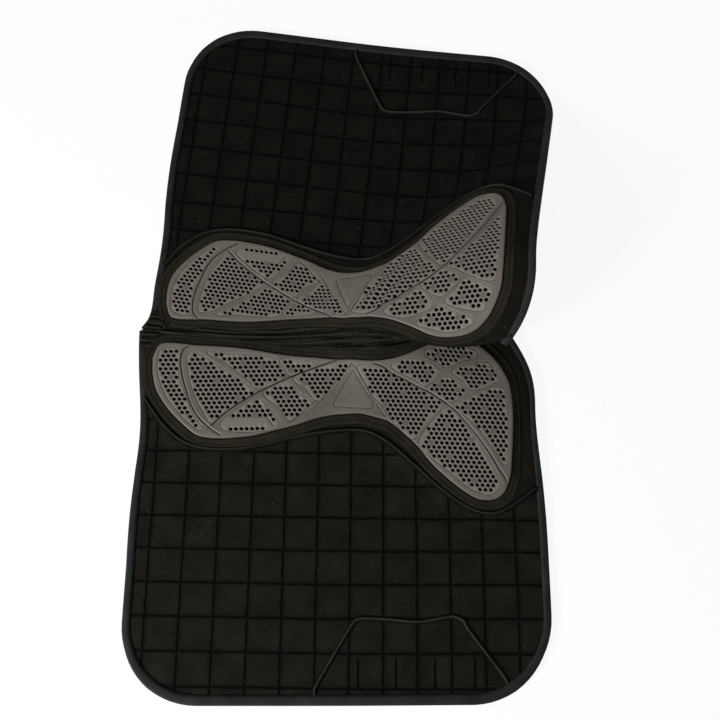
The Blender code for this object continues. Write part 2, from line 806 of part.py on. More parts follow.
def gel_relief(point, outline, grooves, fields):
    """How far the gel's top lies under its full thickness at a point."""
    depth = 0.0
    for groove in grooves:
        share = 1 - distance_to_path(point, groove, False) / (GROOVE_WIDTH / 2)
        depth = max(depth, GROOVE_DEPTH * share)
    for field in fields:
        if inside(point, field):
            share = min(distance_to_path(point, field, True) / FIELD_SLOPE, 1.0)
            depth = max(depth, FIELD_RECESS * share)
    edge = 1 - distance_to_path(point, outline, True) / GEL_EDGE_ROUND
    return max(depth, GEL_EDGE_ROUND * edge, 0.0)


def gel_top_mesh(drape, border, grooves, fields):
    """The triangles of the gel's top, with its grooves and recessed fields as edges."""
    points = [Vector(p) for p in border]
    edges = [(i, (i + 1) % len(border)) for i in range(len(border))]

    def add_path(path, closed):
        start = len(points)
        points.extend(Vector(p) for p in path)
        edges.extend((start + i, start + i + 1) for i in range(len(path) - 1))
        if closed:
            edges.append((start + len(path) - 1, start))

    add_path(offset_loop(border, -GEL_EDGE_ROUND), True)
    for groove in grooves:
        normals = side_normals(groove, False)
        for aside in (-GROOVE_WIDTH / 2, 0.0, GROOVE_WIDTH / 2):
            add_path([(p[0] + n[0] * aside, p[1] + n[1] * aside)
                      for p, n in zip(groove, normals)], False)
    for field in fields:
        add_path(field, True)
        add_path(offset_loop(field, -FIELD_SLOPE), True)
    step = QUILT_PITCH / 2
    for i in range(math.ceil(PANEL_LENGTH / step)):
        for j in range(math.ceil(PANEL_DROP / step)):
            if (i + j) % 2:
                continue
            spot = (drape.origin_u + i * step, drape.origin_v + j * step)
            if inside(spot, border) and distance_to_path(spot, border, True) > step / 4:
                points.append(Vector(spot))
    result = geometry.delaunay_2d_cdt(points, edges, [list(range(len(border)))], 1, 1e-6)
    return result[0], result[2]


def build_gel(side, drape, layers, material):
    loop = gel_outline()
    grooves = [smooth_curve([gel_point(p) for p in path], False, 2 * CURVE_STEP)
               for path in GEL_GROOVES]
    fields = [[gel_point(p) for p in path] for path in GEL_FIELDS]
    fields = [f if turn(f) > 0 else f[::-1] for f in fields]
    bm = flat_faces([loop])
    drape.cut(bm, drape.bent)
    border = border_loop(bm)
    flat, faces = gel_top_mesh(drape, [(v.co.x, v.co.y) for v in border], grooves, fields)
    seat = layers.seat()
    full = seat + GEL_THICKNESS
    tops = []
    for index, spot in enumerate(flat):
        relief = gel_relief((spot.x, spot.y), loop, grooves, fields)
        tops.append(bm.verts.new(drape.place(spot.x, spot.y, full - relief)))
    for face in faces:
        bm.faces.new([tops[k] for k in face])
    count = len(border)
    for i in range(count):
        k = (i + 1) % count
        bm.faces.new((border[i], border[k], tops[k], tops[i]))
    upper = set(tops)
    for vert in bm.verts:
        if vert not in upper:
            vert.co = drape.place(vert.co.x, vert.co.y, seat)
    return new_object(f"gel_insert_{side}", bm, material, False)


def border_loop(bm):
    """The boundary vertices of a flat region, in order and anticlockwise."""
    start = next(e for e in bm.edges if e.is_boundary)
    loop = [start.verts[0], start.verts[1]]
    used = {start}
    while True:
        here = loop[-1]
        step = next((e for e in here.link_edges if e.is_boundary and e not in used), None)
        if step is None:
            break
        used.add(step)
        other = step.other_vert(here)
        if other is loop[0]:
            break
        loop.append(other)
    flat = [(v.co.x, v.co.y) for v in loop]
    return loop if turn(flat) > 0 else loop[::-1]


def band_outline():
    """Outside the gel, but clear of the binding and of the seam."""
    loop = []
    for u, v in offset_loop(gel_outline(), BAND_WIDTH):
        u = max(u, rear_u(v) + BINDING_WIDTH)
        u = min(u, front_u(v) - BINDING_WIDTH)
        loop.append((u, max(v, seam_v(u) + BAND_FROM_SEAM)))
    return loop


def inner_edge():
    """Just inside the binding."""
    return [p for p in offset_loop(panel_outline(), -BINDING_WIDTH)]


def build_band(side, drape, layers, material):
    inner = offset_loop(gel_outline(), LAYER_GAP)
    seat = layers.seat()
    return sheet(f"gel_band_{side}", drape, ring_quads(band_outline(), inner),
                 lambda u, v: seat, lambda u, v: seat + BAND_THICKNESS, material)


def gel_piping_line():
    """The cord keeps outside the band, and ends at the binding on both sides."""
    path = smooth_curve([gel_point(p) for p in GEL_PIPING], False, CURVE_STEP)
    reach = BAND_WIDTH + PIPING_WIDTH / 2 + PIPING_FROM_BAND
    gel = gel_outline()
    kept = []
    for u, v in path:
        close = min(gel, key=lambda p: math.dist(p, (u, v)))
        away = distance_to_path((u, v), gel, True)
        if away < reach:
            scale = (reach - away) / math.dist(close, (u, v))
            u += (u - close[0]) * scale
            v += (v - close[1]) * scale
        u = max(u, rear_u(v) + BINDING_WIDTH + LAYER_GAP)
        u = min(u, front_u(v) - BINDING_WIDTH - LAYER_GAP)
        kept.append((u, v))
    return kept


def build_gel_piping(side, drape, layers, material):
    path = follow_bends(gel_piping_line(), drape)
    return swept(f"gel_piping_{side}", drape, path, cord_profile(layers), material)


def patch_line():
    """The corded line of the patch: up, across with a shallow dip, and down again."""
    left = PATCH_FROM_REAR
    right = PATCH_FROM_REAR + PATCH_LENGTH
    low = PANEL_DROP - BINDING_WIDTH - PIPING_WIDTH
    high = PANEL_DROP - PATCH_HEIGHT
    points = [(left, low), (left + PATCH_SHOULDER * 0.7, high + 0.028),
              (left + PATCH_SHOULDER, high + 0.004), (left + PATCH_SHOULDER * 1.5, high),
              ((left + right) / 2, high + PATCH_DIP), (right - PATCH_SHOULDER * 1.7, high),
              (right - PATCH_SHOULDER * 1.3, high + 0.001),
              (right - PATCH_SHOULDER, high + 0.010), (right, low - 0.024)]
    return smooth_curve(points, False, CURVE_STEP)


def patch_outline():
    line = patch_line()
    low = PANEL_DROP - BINDING_WIDTH - EDGE_INSET
    right = PATCH_FROM_REAR + PATCH_LENGTH - 0.016
    loop = line + [(right, low), (PATCH_FROM_REAR, low)]
    return loop if turn(loop) > 0 else loop[::-1]


def build_patch(side, drape, layers, material):
    top = COVER_HEIGHT + PATCH_LIFT - LAYER_GAP
    return sheet(f"girth_patch_{side}", drape, [patch_outline()],
                 lambda u, v: top - PATCH_THICKNESS, lambda u, v: top, material)


def build_patch_piping(side, drape, layers, material):
    path = follow_bends(patch_line(), drape)
    return swept(f"patch_piping_{side}", drape, path, cord_profile(layers), material)


def build_keeper(side, drape, layers, material):
    """One webbing, sewn down in rows, that leaves flat loops for the girth between them."""
    under_patch = COVER_HEIGHT + PATCH_LIFT - LAYER_GAP - PATCH_THICKNESS - LAYER_GAP
    v = PANEL_DROP - KEEPER_FROM_EDGE - KEEPER_WIDTH / 2
    stations = []
    for row in range(KEEPER_ROWS):
        centre = KEEPER_FROM_REAR + TACK_WIDTH + row * (KEEPER_LENGTH - 2 * TACK_WIDTH) / (
            KEEPER_ROWS - 1)
        for aside, lift in ((-TACK_WIDTH, 0.0), (-TACK_WIDTH / 2, KEEPER_TACK),
                            (TACK_WIDTH / 2, KEEPER_TACK), (TACK_WIDTH, 0.0)):
            stations.append((centre + aside, lift))
    lifts = dict(stations)
    floor = under_patch - KEEPER_THICKNESS - KEEPER_TACK

    def profile(u, _v):
        lift = lifts[u]
        half = KEEPER_WIDTH / 2
        return [(-half, floor + lift), (half, floor + lift),
                (half, floor + lift + KEEPER_THICKNESS),
                (-half, floor + lift + KEEPER_THICKNESS)]

    path = [(u, v) for u, _ in stations]
    return swept(f"girth_keeper_{side}", drape, path, profile, material, False)


def binding_faces(side):
    """Quads along the open edge: the part over the cloth, then the part beyond its edge."""
    path = open_edge()
    path[0] = (path[0][0], path[0][1] + BINDING_END_GAP)
    path[-1] = (path[-1][0], path[-1][1] + BINDING_END_GAP)
    if side == "right":
        (u0, v0), (u1, v1) = path[0], path[1]
        reach = BINDING_TAIL / math.dist(path[0], path[1])
        path = [(u0 + (u0 - u1) * reach, v0 + (v0 - v1) * reach)] + path
    normals = side_normals(path, False)
    wrap = 2 * LAYER_GAP
    out = wrap + BINDING_THICKNESS
    rows = [[(p[0] + n[0] * aside, p[1] + n[1] * aside) for p, n in zip(path, normals)]
            for aside in (out - BINDING_WIDTH, wrap, out)]
    quads = []
    for inner, outer in zip(rows, rows[1:]):
        quads += [[inner[i], outer[i], outer[i + 1], inner[i + 1]]
                  for i in range(len(path) - 1)]
    return quads, len(path) - 1


def build_binding(side, drape, layers, material):
    """Woven tape folded over the open edge, closed on the outside."""
    quads, count = binding_faces(side)
    bm = flat_faces(quads)
    bm.faces.ensure_lookup_table()
    for face in bm.faces[count:]:
        face.material_index = 1
    drape.cut(bm, drape.bent)
    edge_top = (COVER_HEIGHT + COVER_THICKNESS + LAYER_GAP + WADDING_AT_STITCH + LAYER_GAP
                + LINING_THICKNESS)
    low = COVER_HEIGHT - LAYER_GAP - BINDING_THICKNESS
    round_off = 0.7 * BINDING_THICKNESS
    solid = bmesh.new()
    copies = {}
    for vert in bm.verts:
        u, v = vert.co.x, vert.co.y
        over_cloth = any(face.material_index == 0 for face in vert.link_faces)
        top = max(layers.lining_top(u, v), edge_top) + BINDING_CLEARANCE
        if over_cloth:
            heights = (low, low + BINDING_THICKNESS, top, top + BINDING_THICKNESS)
        else:
            heights = (low + round_off, top + BINDING_THICKNESS - round_off)
        copies[vert] = [solid.verts.new(drape.place(u, v, h)) for h in heights]
    for face in bm.faces:
        rings = (0, 3) if face.material_index else (0, 1, 2, 3)
        for k in rings:
            solid.faces.new([copies[v][k] if len(copies[v]) == 4 else copies[v][min(k, 1)]
                             for v in face.verts])
    for edge in bm.edges:
        a, b = (copies[v] for v in edge.verts)
        kinds = [face.material_index for face in edge.link_faces]
        if kinds == [0]:
            solid.faces.new((a[0], b[0], b[1], a[1]))
            solid.faces.new((a[2], b[2], b[3], a[3]))
        elif kinds == [1]:
            solid.faces.new(a + b[::-1])
        elif sorted(kinds) == [0, 1]:
            solid.faces.new((a[1], b[1], b[2], a[2]))
    bm.free()
    return new_object(f"edge_binding_{side}", solid, material, False)


def build_strip(side, drape, layers, material):
    """The plain channel cloth between the gel's band and the seam, with its rib."""
    seat = layers.seat()
    band = band_outline()
    far = []
    for before, (u, v), after in zip(band[-1:] + band[:-1], band, band[1:] + band[:1]):
        if before[0] < u < after[0] and v < WING_CREST_V:
            far.append((u, v - STRIP_CLEARANCE))
    far.sort()
    far = [p for p in far if p[1] - seam_v(p[0]) < STRIP_REACH]
    near = [(u, seam_v(u) + SEAM_GAP / 2) for u, _ in far]
    middle = [((p[0] + q[0]) / 2, (p[1] + q[1]) / 2) for p, q in zip(near, far)]
    quads = []
    for low, high in ((near, middle), (middle, far)):
        quads += [[low[i], low[i + 1], high[i + 1], high[i]] for i in range(len(low) - 1)]

    def top(u, v):
        rib = distance_to_path((u, v), middle, False) < WELD
        return seat + STRIP_THICKNESS + (STRIP_RIB if rib else 0.0)

    return sheet(f"spine_strip_{side}", drape, quads, lambda u, v: seat, top, material)


def tape_line(left, right, u, stack):
    """The tape's course across the seam: flat, or up through the fold at the withers."""
    v = seam_v(u) - SEAM_GAP / 2
    low = COVER_HEIGHT - TAPE_CLEARANCE - TAPE_THICKNESS / 2
    near = left.place(u, v + TAPE_WIDTH / 2, low)
    edge = left.place(u, v + TAPE_THICKNESS / 2, low)
    foot = right.place(u, v + TAPE_THICKNESS / 2, low)
    climb = foot.z - edge.z
    lip = left.place(u, v, low) + Vector((0, 0, min(climb, stack + 2 * TAPE_THICKNESS)))
    narrow = ramp(climb, TAPE_RISE / 2, TAPE_RISE / 2)
    tuck = TAPE_THICKNESS * 2
    far = right.place(u, v + tuck + (TAPE_WIDTH / 2 - tuck) * (1 - narrow), low)
    across = foot - lip
    across.x = 0.0
    beyond = foot + across.normalized() * tuck
    upright = 1 - ramp(across.normalized().y, TAPE_LEAN / 2, TAPE_LEAN / 2)
    far = far.lerp(beyond, upright * ramp(across.length, TAPE_RISE / 2, TAPE_RISE / 2))
    return [near, edge, lip, foot, far]


def join_rings(bm, rings):
    """Walls of triangles whose diagonals run the same way on both faces of the tape."""
    size = len(rings[0])
    for here, there in zip(rings, rings[1:]):
        for k in range(size):
            n = (k + 1) % size
            if k < size // 2:
                bm.faces.new((here[k], here[n], there[n]))
                bm.faces.new((here[k], there[n], there[k]))
            else:
                bm.faces.new((here[k], here[n], there[k]))
                bm.faces.new((here[n], there[n], there[k]))
    for ring in (rings[0], rings[-1]):
        for k in range(size // 2 - 1):
            bm.faces.new((ring[k], ring[k + 1], ring[size - 2 - k], ring[size - 1 - k]))


def build_tape(drapes, stack, material):
    """The tape behind the seam, which stands up in the fold at the withers."""
    left, right = drapes
    end, _ = neck_corner()
    bm = bmesh.new()
    rings = []
    start = rear_u(0.0) + TAPE_SET_IN
    stop = end - TAPE_SET_IN
    stations = []
    for drape in drapes:
        for aside in (0.0, TAPE_WIDTH / 2):
            path = [(u, seam_v(u) + aside) for u in spread(start, stop, OUTLINE_STEP)]
            stations += [u for u, _ in follow_bends(path, drape)]
    kept = [start]
    for u in sorted(stations):
        if u - kept[-1] > TAPE_WIDTH / 6:
            kept.append(u)
    for u in kept:
        line = tape_line(left, right, u, stack)
        normals = side_normals([(p.y, p.z) for p in line], False)
        half = TAPE_THICKNESS / 2
        upper = [p + Vector((0, -n[0], -n[1])) * half for p, n in zip(line, normals)]
        lower = [p + Vector((0, n[0], n[1])) * half for p, n in zip(line, normals)]
        rings.append([bm.verts.new(p) for p in upper + lower[::-1]])
    join_rings(bm, rings)
    return new_object("spine_tape", bm, material, False)


def build_half(side, materials):
    drape = Drape(side)
    layers = Layers(drape)
    pieces = [
        build_cover(side, drape, layers, materials["outer_cover"]),
        build_wadding(side, drape, layers, materials["wadding"]),
        build_lining(side, drape, layers, materials["lining"]),
        build_gel(side, drape, layers, materials["gel"]),
        build_band(side, drape, layers, materials["band"]),
        build_gel_piping(side, drape, layers, materials["piping"]),
        build_patch(side, drape, layers, materials["patch"]),
        build_patch_piping(side, drape, layers, materials["piping"]),
        build_keeper(side, drape, layers, materials["webbing"]),
        build_binding(side, drape, layers, materials["binding"]),
        build_strip(side, drape, layers, materials["strip"])]
    return pieces, drape


def stand_on_origin(things):
    """Moves the meshes so that the middle of the pad's footprint is the origin."""
    spots = [v.co for thing in things for v in thing.data.vertices]
    low = Vector([min(s[k] for s in spots) for k in range(3)])
    high = Vector([max(s[k] for s in spots) for k in range(3)])
    shift = Vector((-(low.x + high.x) / 2, -(low.y + high.y) / 2, -low.z))
    for thing in things:
        thing.data.transform(Matrix.Translation(shift))
    print("size", [round(s, 5) for s in high - low])
    print("shift", [round(s, 6) for s in shift])
    return shift


def hang_on_hinge(pieces, shift):
    """The right half is parented to an empty on the line of the spine fold."""
    axis = (HINGE_FRONT - HINGE_REAR).normalized()
    hinge = bpy.data.objects.new("spine_fold", None)
    hinge.matrix_world = (Matrix.Translation(HINGE_REAR + shift)
                          @ Vector((1, 0, 0)).rotation_difference(axis).to_matrix().to_4x4())
    bpy.context.collection.objects.link(hinge)
    bpy.context.view_layer.update()
    for piece in pieces:
        piece.parent = hinge
        piece.matrix_parent_inverse = hinge.matrix_world.inverted()
    print("hinge", [round(s, 6) for s in HINGE_REAR + shift], [round(s, 6) for s in axis])


def main():
    clear_scene()
    materials = {name: cloth_material(name) for name in COLOURS}
    left, left_drape = build_half("left", materials)
    right, right_drape = build_half("right", materials)
    stack = Layers(left_drape).seat() - COVER_HEIGHT
    tape = build_tape((left_drape, right_drape), stack, materials["tape"])
    shift = stand_on_origin(left + right + [tape])
    hang_on_hinge(right, shift)


main()
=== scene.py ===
# %% [markdown]
# A dressage saddle pad, opened out on the floor with its lining side up.
# The pad is two soft quilted halves joined along the horse's spine, with a moulded gel
# insert on each half. Every piece is drawn flat on the pad's cutting pattern first and
# then laid down by one drape, so quilting, gel, tapes and cords all bend together.

# %% Open the frame
import math
import bpy
import bmesh
import numpy as np
from mathutils import Matrix, Vector
from mathutils.geometry import delaunay_2d_cdt


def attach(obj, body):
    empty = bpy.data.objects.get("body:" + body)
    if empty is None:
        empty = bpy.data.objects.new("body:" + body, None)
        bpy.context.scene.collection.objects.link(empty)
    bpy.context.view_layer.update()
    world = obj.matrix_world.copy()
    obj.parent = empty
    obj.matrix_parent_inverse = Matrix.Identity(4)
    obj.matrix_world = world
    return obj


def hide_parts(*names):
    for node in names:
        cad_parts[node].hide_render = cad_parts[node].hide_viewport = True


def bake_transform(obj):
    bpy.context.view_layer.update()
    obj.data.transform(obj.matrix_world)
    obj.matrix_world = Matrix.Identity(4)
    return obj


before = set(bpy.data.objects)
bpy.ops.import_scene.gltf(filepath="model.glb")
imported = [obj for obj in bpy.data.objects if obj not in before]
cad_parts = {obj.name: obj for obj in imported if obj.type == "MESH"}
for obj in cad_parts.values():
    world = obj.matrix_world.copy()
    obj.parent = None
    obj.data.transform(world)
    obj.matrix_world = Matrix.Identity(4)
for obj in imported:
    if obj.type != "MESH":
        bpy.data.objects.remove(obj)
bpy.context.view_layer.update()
scene = bpy.context.scene
scene.view_settings.view_transform = "Standard"
SIDES = ("left", "right")

# %% [markdown]
# Colours are written as the sRGB hex values a paint program shows, and one function
# turns them into the linear numbers a shader works with. One more small function adds
# a node, sets its values and joins its links, and the short ones after it name the
# nodes that nearly every cloth needs, which keeps each material readable.

# %% Colour, node and mesh helpers
def linear(hex_colour, times=1.0):
    """The shader's linear colour of an sRGB hex value, made darker or lighter if asked."""
    parts = [int(hex_colour[i:i + 2], 16) / 255 for i in (0, 2, 4)]
    parts = [p / 12.92 if p <= 0.04045 else ((p + 0.055) / 1.055) ** 2.4 for p in parts]
    return [p * times for p in parts] + [1]


def add(tree, kind, inputs=None, **settings):
    """A new node with its settings, values and links."""
    node = tree.nodes.new("ShaderNode" + kind)
    for name, value in settings.items():
        setattr(node, name, value)
    for name, value in (inputs or {}).items():
        if isinstance(value, bpy.types.NodeSocket):
            tree.links.new(value, node.inputs[name])
        else:
            node.inputs[name].default_value = value
    return node


def maths(tree, operation, *values):
    """One sum's result; each value is a number or another node's output."""
    return add(tree, "Math", dict(enumerate(values)), operation=operation).outputs[0]


def spread(tree, value, low, high, to_low=0.0, to_high=1.0, **settings):
    """A value moved from the range low to high into another range."""
    return add(tree, "MapRange", {"Value": value, "From Min": low, "From Max": high,
                                  "To Min": to_low, "To Max": to_high}, **settings).outputs[0]


def noise(tree, place, scale, detail, roughness=0.5):
    """Cloudy noise at a place, about 0.5 on average."""
    return add(tree, "TexNoise", {"Vector": place, "Scale": scale, "Detail": detail,
                                  "Roughness": roughness}).outputs["Fac"]


def attribute(tree, name):
    """A value that the mesh carries at each point."""
    return add(tree, "Attribute", attribute_name=name).outputs["Fac"]


def mixed_colour(tree, factor, a, b):
    """The colour between a and b, each a colour or a socket."""
    mix = add(tree, "Mix", data_type="RGBA")
    for socket, value in zip((mix.inputs[0], mix.inputs[6], mix.inputs[7]), (factor, a, b)):
        if isinstance(value, bpy.types.NodeSocket):
            tree.links.new(value, socket)
        else:
            socket.default_value = value
    return mix.outputs[2]


def new_material(name, hex_colour, roughness, specular):
    """A material with one Principled shader, its constants on the shader's sockets."""
    material = bpy.data.materials.new(name)
    material.use_nodes = True
    shader = material.node_tree.nodes["Principled BSDF"]
    shader.inputs["Base Color"].default_value = linear(hex_colour)
    shader.inputs["Roughness"].default_value = roughness
    shader.inputs["Specular IOR Level"].default_value = specular
    return material, material.node_tree, shader


def dressed(tree, shader, colour, relief, strength, distance):
    """Joins a colour and a fine relief, its distance in metres, to the shader."""
    tree.links.new(colour, shader.inputs["Base Color"])
    bump = add(tree, "Bump", {"Height": relief, "Strength": strength, "Distance": distance})
    tree.links.new(bump.outputs[0], shader.inputs["Normal"])


def new_mesh(name, bm):
    """A bmesh kept as a mesh."""
    mesh = bpy.data.meshes.new(name)
    bm.to_mesh(mesh)
    bm.free()
    return mesh


def new_object(name, data):
    """An object in the scene."""
    made = bpy.data.objects.new(name, data)
    scene.collection.objects.link(made)
    return made


print("helpers ready")

# %% [markdown]
# The photograph looks down at the pad from above its left half, close enough for a
# clear perspective. The camera's place and turns were worked out from the regular
# 50 mm quilting squares, which give the view's angle and distance on their own.

# %% Camera
SPLAY = math.radians(2.6)
PITCH, YAW, ROLL = 0.343095, -0.0758427, 0.0907347
camera = new_object("camera", bpy.data.cameras.new("camera"))
camera.data.lens = 61.64
camera.data.clip_end = 50
turn = (Matrix.Rotation(SPLAY + YAW, 4, "Z") @ Matrix.Rotation(PITCH, 4, "X")
        @ Matrix.Rotation(ROLL, 4, "Z"))
camera.matrix_world = Matrix.Translation((0.00325, -0.68211, 1.83891)) @ turn
scene.camera = camera
print("camera", tuple(round(x, 3) for x in camera.location))

# %% [markdown]
# The floor is a plain white studio sweep. Rays from the camera see it close to pure
# white, and the rest of its share keeps the soft contact shadow under the pad. The pad
# is nearly black, so one broad lamp low on the left draws the quilting's relief.

# %% Floor, world and lamps
FLOOR_GLOW, WORLD_GLOW = 0.90, 0.31
floor_mesh = bmesh.new()
bmesh.ops.create_grid(floor_mesh, x_segments=1, y_segments=1, size=6)
floor = new_object("floor", new_mesh("floor", floor_mesh))
white_floor = bpy.data.materials.new("matt_white_floor")
white_floor.use_nodes = True
tree = white_floor.node_tree
tree.nodes.remove(tree.nodes["Principled BSDF"])
ray = add(tree, "LightPath").outputs
seen = maths(tree, "MAXIMUM", ray["Is Camera Ray"], ray["Is Glossy Ray"])
seen = maths(tree, "MAXIMUM", seen, ray["Is Transmission Ray"])
matt = add(tree, "BsdfDiffuse", {"Color": linear("f4f4f4")})
glow = add(tree, "Emission", {"Color": (1, 1, 1, 1), "Strength": 1.0})
mixed = add(tree, "MixShader", {0: maths(tree, "MULTIPLY", seen, FLOOR_GLOW),
                                1: matt.outputs[0], 2: glow.outputs[0]})
tree.links.new(mixed.outputs[0], tree.nodes["Material Output"].inputs["Surface"])
floor.data.materials.append(white_floor)

world = bpy.data.worlds.new("studio")
scene.world = world
world.use_nodes = True
tree = world.node_tree
ray = add(tree, "LightPath").outputs
seen = maths(tree, "MAXIMUM", ray["Is Camera Ray"], ray["Is Transmission Ray"])
strength = add(tree, "Mix", {"Factor": seen, "A": WORLD_GLOW, "B": 1.0})
tree.nodes["Background"].inputs["Color"].default_value = (1, 1, 1, 1)
tree.links.new(strength.outputs[0], tree.nodes["Background"].inputs["Strength"])


def soft_lamp(name, place, size, watts):
    """A square area lamp at a place, turned to look at the pad's middle."""
    lamp = new_object(name, bpy.data.lights.new(name, "AREA"))
    lamp.data.size = size
    lamp.data.energy = watts
    aim = (-Vector(place)).to_track_quat("-Z", "Y").to_matrix().to_4x4()
    lamp.matrix_world = Matrix.Translation(place) @ aim


soft_lamp("key", (-1.9, -1.7, 1.2), 0.8, 120)
soft_lamp("fill", (1.5, 1.7, 2.2), 2.0, 9)
print("floor, world and two lamps")

# %% [markdown]
# The pattern is flat: u runs from the pad's rear to its front along the spine, v from
# the spine out to the far edge, both in metres. The outline has rounded corners, a
# front edge that sweeps forward to the withers, and a rear edge with a slight hollow.

# %% The cutting pattern
PANEL_LENGTH, PANEL_DROP = 0.638, 0.574
REAR_RADIUS, FRONT_RADIUS = 0.113, 0.116
SEAM_END = 0.598
SPINE_START, SEAM_DIP, SEAM_DIP_AT, SEAM_DIP_REACH = 0.0036, 0.046, 0.530, 0.100
SIDE_FROM, SIDE_OVER, REAR_STEP, FRONT_STEP = 0.230, 0.150, 0.005, 0.0017
REAR_HOLLOW, HOLLOW_AT, HOLLOW_REACH = 0.010, 0.170, 0.100
FRONT_SWEEP, SWEEP_TO = 0.040, 0.112
FAR_DROP, FAR_FROM, FAR_OVER = 0.0045, 0.300, 0.200


def bell(distance, reach):
    """1 in the middle, falling smoothly to 0 a few reaches away."""
    return np.exp(-(distance / reach) ** 2)


def ramp(value, start, length):
    """0 before start, then evenly up to 1 over a length."""
    return np.clip((value - start) / length, 0, 1)


def ease(value):
    """A smooth step from 0 to 1."""
    t = np.clip(value, 0, 1)
    return t * t * (3 - 2 * t)


def spine_v(u):
    """The straight line under the spine, which turns with the half's splay."""
    return SPINE_START + math.tan(SPLAY) * u


def seam_v(u):
    """The seam of the two halves, cut away in a curve near the withers."""
    return spine_v(u) + 0.001 - SEAM_DIP * bell(u - SEAM_DIP_AT, SEAM_DIP_REACH)


def rear_u(v):
    """The rear edge, slightly hollow."""
    step = REAR_STEP * ramp(v, SIDE_FROM, SIDE_OVER)
    return REAR_HOLLOW * bell(v - HOLLOW_AT, HOLLOW_REACH) + step


def front_u(v):
    """The front edge, which draws back near the spine."""
    sweep = FRONT_SWEEP * np.maximum(1 - v / SWEEP_TO, 0) ** 2
    return PANEL_LENGTH - sweep - FRONT_STEP * ramp(v, SIDE_FROM, SIDE_OVER)


def far_v(u):
    """The far side, a little shorter towards the front."""
    return PANEL_DROP - FAR_DROP * np.maximum((u - FAR_FROM) / FAR_OVER, 0) ** 2


print("one half, m:", PANEL_LENGTH, "by", PANEL_DROP)

# %% [markdown]
# Everything sewn follows a line, so a few small tools work on rows of points. One sets
# them at even steps, one draws a smooth curve through them, and two ask how far a place
# is from a line and whether it lies inside a loop. The pad's bound edge comes first.

# %% Lines on the pattern
def respaced(points, step, closed=False):
    """The same line with its points at even steps."""
    line = np.vstack([points, points[:1]]) if closed else np.asarray(points)
    along = np.r_[0, np.cumsum(np.linalg.norm(np.diff(line, axis=0), axis=1))]
    at = np.linspace(0, along[-1], max(3, round(along[-1] / step)) + 1)
    even = np.stack([np.interp(at, along, line[:, k]) for k in (0, 1)], 1)
    return even[:-1] if closed else even


def curve(points, step, closed=False):
    """A smooth line through a few points (Catmull-Rom), at even steps."""
    p = np.array(points, float)
    ends = [p[-1:], p[:2]] if closed else [2 * p[:1] - p[1:2], 2 * p[-1:] - p[-2:-1]]
    c = np.vstack([ends[0], p, ends[1]])
    t = (np.arange(12) / 12)[:, None]
    runs = [0.5 * (2 * c[i] + (c[i + 1] - c[i - 1]) * t
                   + (2 * c[i - 1] - 5 * c[i] + 4 * c[i + 1] - c[i + 2]) * t ** 2
                   + (3 * c[i] - c[i - 1] - 3 * c[i + 1] + c[i + 2]) * t ** 3)
            for i in range(1, len(c) - 2)]
    return respaced(np.vstack(runs + ([] if closed else [p[-1:]])), step, closed)


def open_edge(step=0.004):
    """The bound edge of one half: up its front, along the far side and down its rear."""
    start = seam_v(SEAM_END)
    side_v = np.linspace(start, PANEL_DROP - FRONT_RADIUS, 60)
    front = np.stack([front_u(side_v), side_v], 1)
    turn = np.linspace(0, math.pi / 2, 16)[1:, None]
    centre = front[-1] - (FRONT_RADIUS, 0)
    corner = centre + FRONT_RADIUS * np.hstack([np.cos(turn), np.sin(turn)])
    rear_v = np.linspace(PANEL_DROP - REAR_RADIUS, seam_v(0.0), 60)
    rear = np.stack([rear_u(rear_v), rear_v], 1)
    centre = rear[0] + (REAR_RADIUS, 0)
    back = centre + REAR_RADIUS * np.hstack([-np.sin(turn[:-1]), np.cos(turn[:-1])])
    line = np.vstack([front, corner, [centre + (0, REAR_RADIUS)], back, rear])
    line[:, 1] -= (PANEL_DROP - far_v(line[:, 0])) * ramp(line[:, 1], SIDE_FROM, SIDE_OVER)
    return respaced(line, step)


def to_line(points, line, closed=False):
    """Each point's distance to a line, and the side it lies on (1 is left)."""
    ends = np.roll(line, -1, 0) if closed else line[1:]
    starts = line if closed else line[:-1]
    nearest = np.full(len(points), 9.0)
    side = np.ones(len(points))
    for a, b in zip(starts, ends):
        ab = b - a
        ap = points - a
        t = np.clip(ap @ ab / max(ab @ ab, 1e-12), 0, 1)
        gap = np.hypot(*(ap - t[:, None] * ab).T)
        closer = gap < nearest
        nearest[closer] = gap[closer]
        side[closer] = np.sign((ab[0] * ap[:, 1] - ab[1] * ap[:, 0])[closer])
    return nearest, side


def within(points, loop):
    """Which points lie inside a closed loop."""
    inside = np.zeros(len(points), bool)
    x, y = points.T
    for a, b in zip(loop, np.roll(loop, -1, 0)):
        crosses = (a[1] > y) != (b[1] > y)
        at = a[0] + (y - a[1]) / (b[1] - a[1] + 1e-15) * (b[0] - a[0])
        inside ^= crosses & (x < at)
    return inside


EDGE = open_edge()
seam_u = np.linspace(0.0, SEAM_END, 120)
PANEL = np.vstack([EDGE, np.stack([seam_u, seam_v(seam_u)], 1)])
bound = np.linalg.norm(np.diff(EDGE, axis=0), axis=1).sum()
print("bound edge of one half, m:", round(float(bound), 3))

# %% [markdown]
# The pad doesn't lie flat. The photograph's right half rises in a long fold from the
# rear of the spine to the front, and the left half has a shallow tent at the spine and
# a low lobe under the gel. The drape is a height over the pattern; cloth that climbs
# a slope is drawn in by the length the slope uses, and small tugs, fitted to the
# quilting in the photograph, shift it in the plane. It is worked out once on a 2 mm
# grid, and every piece is then set on it at its own height along the surface's normal.

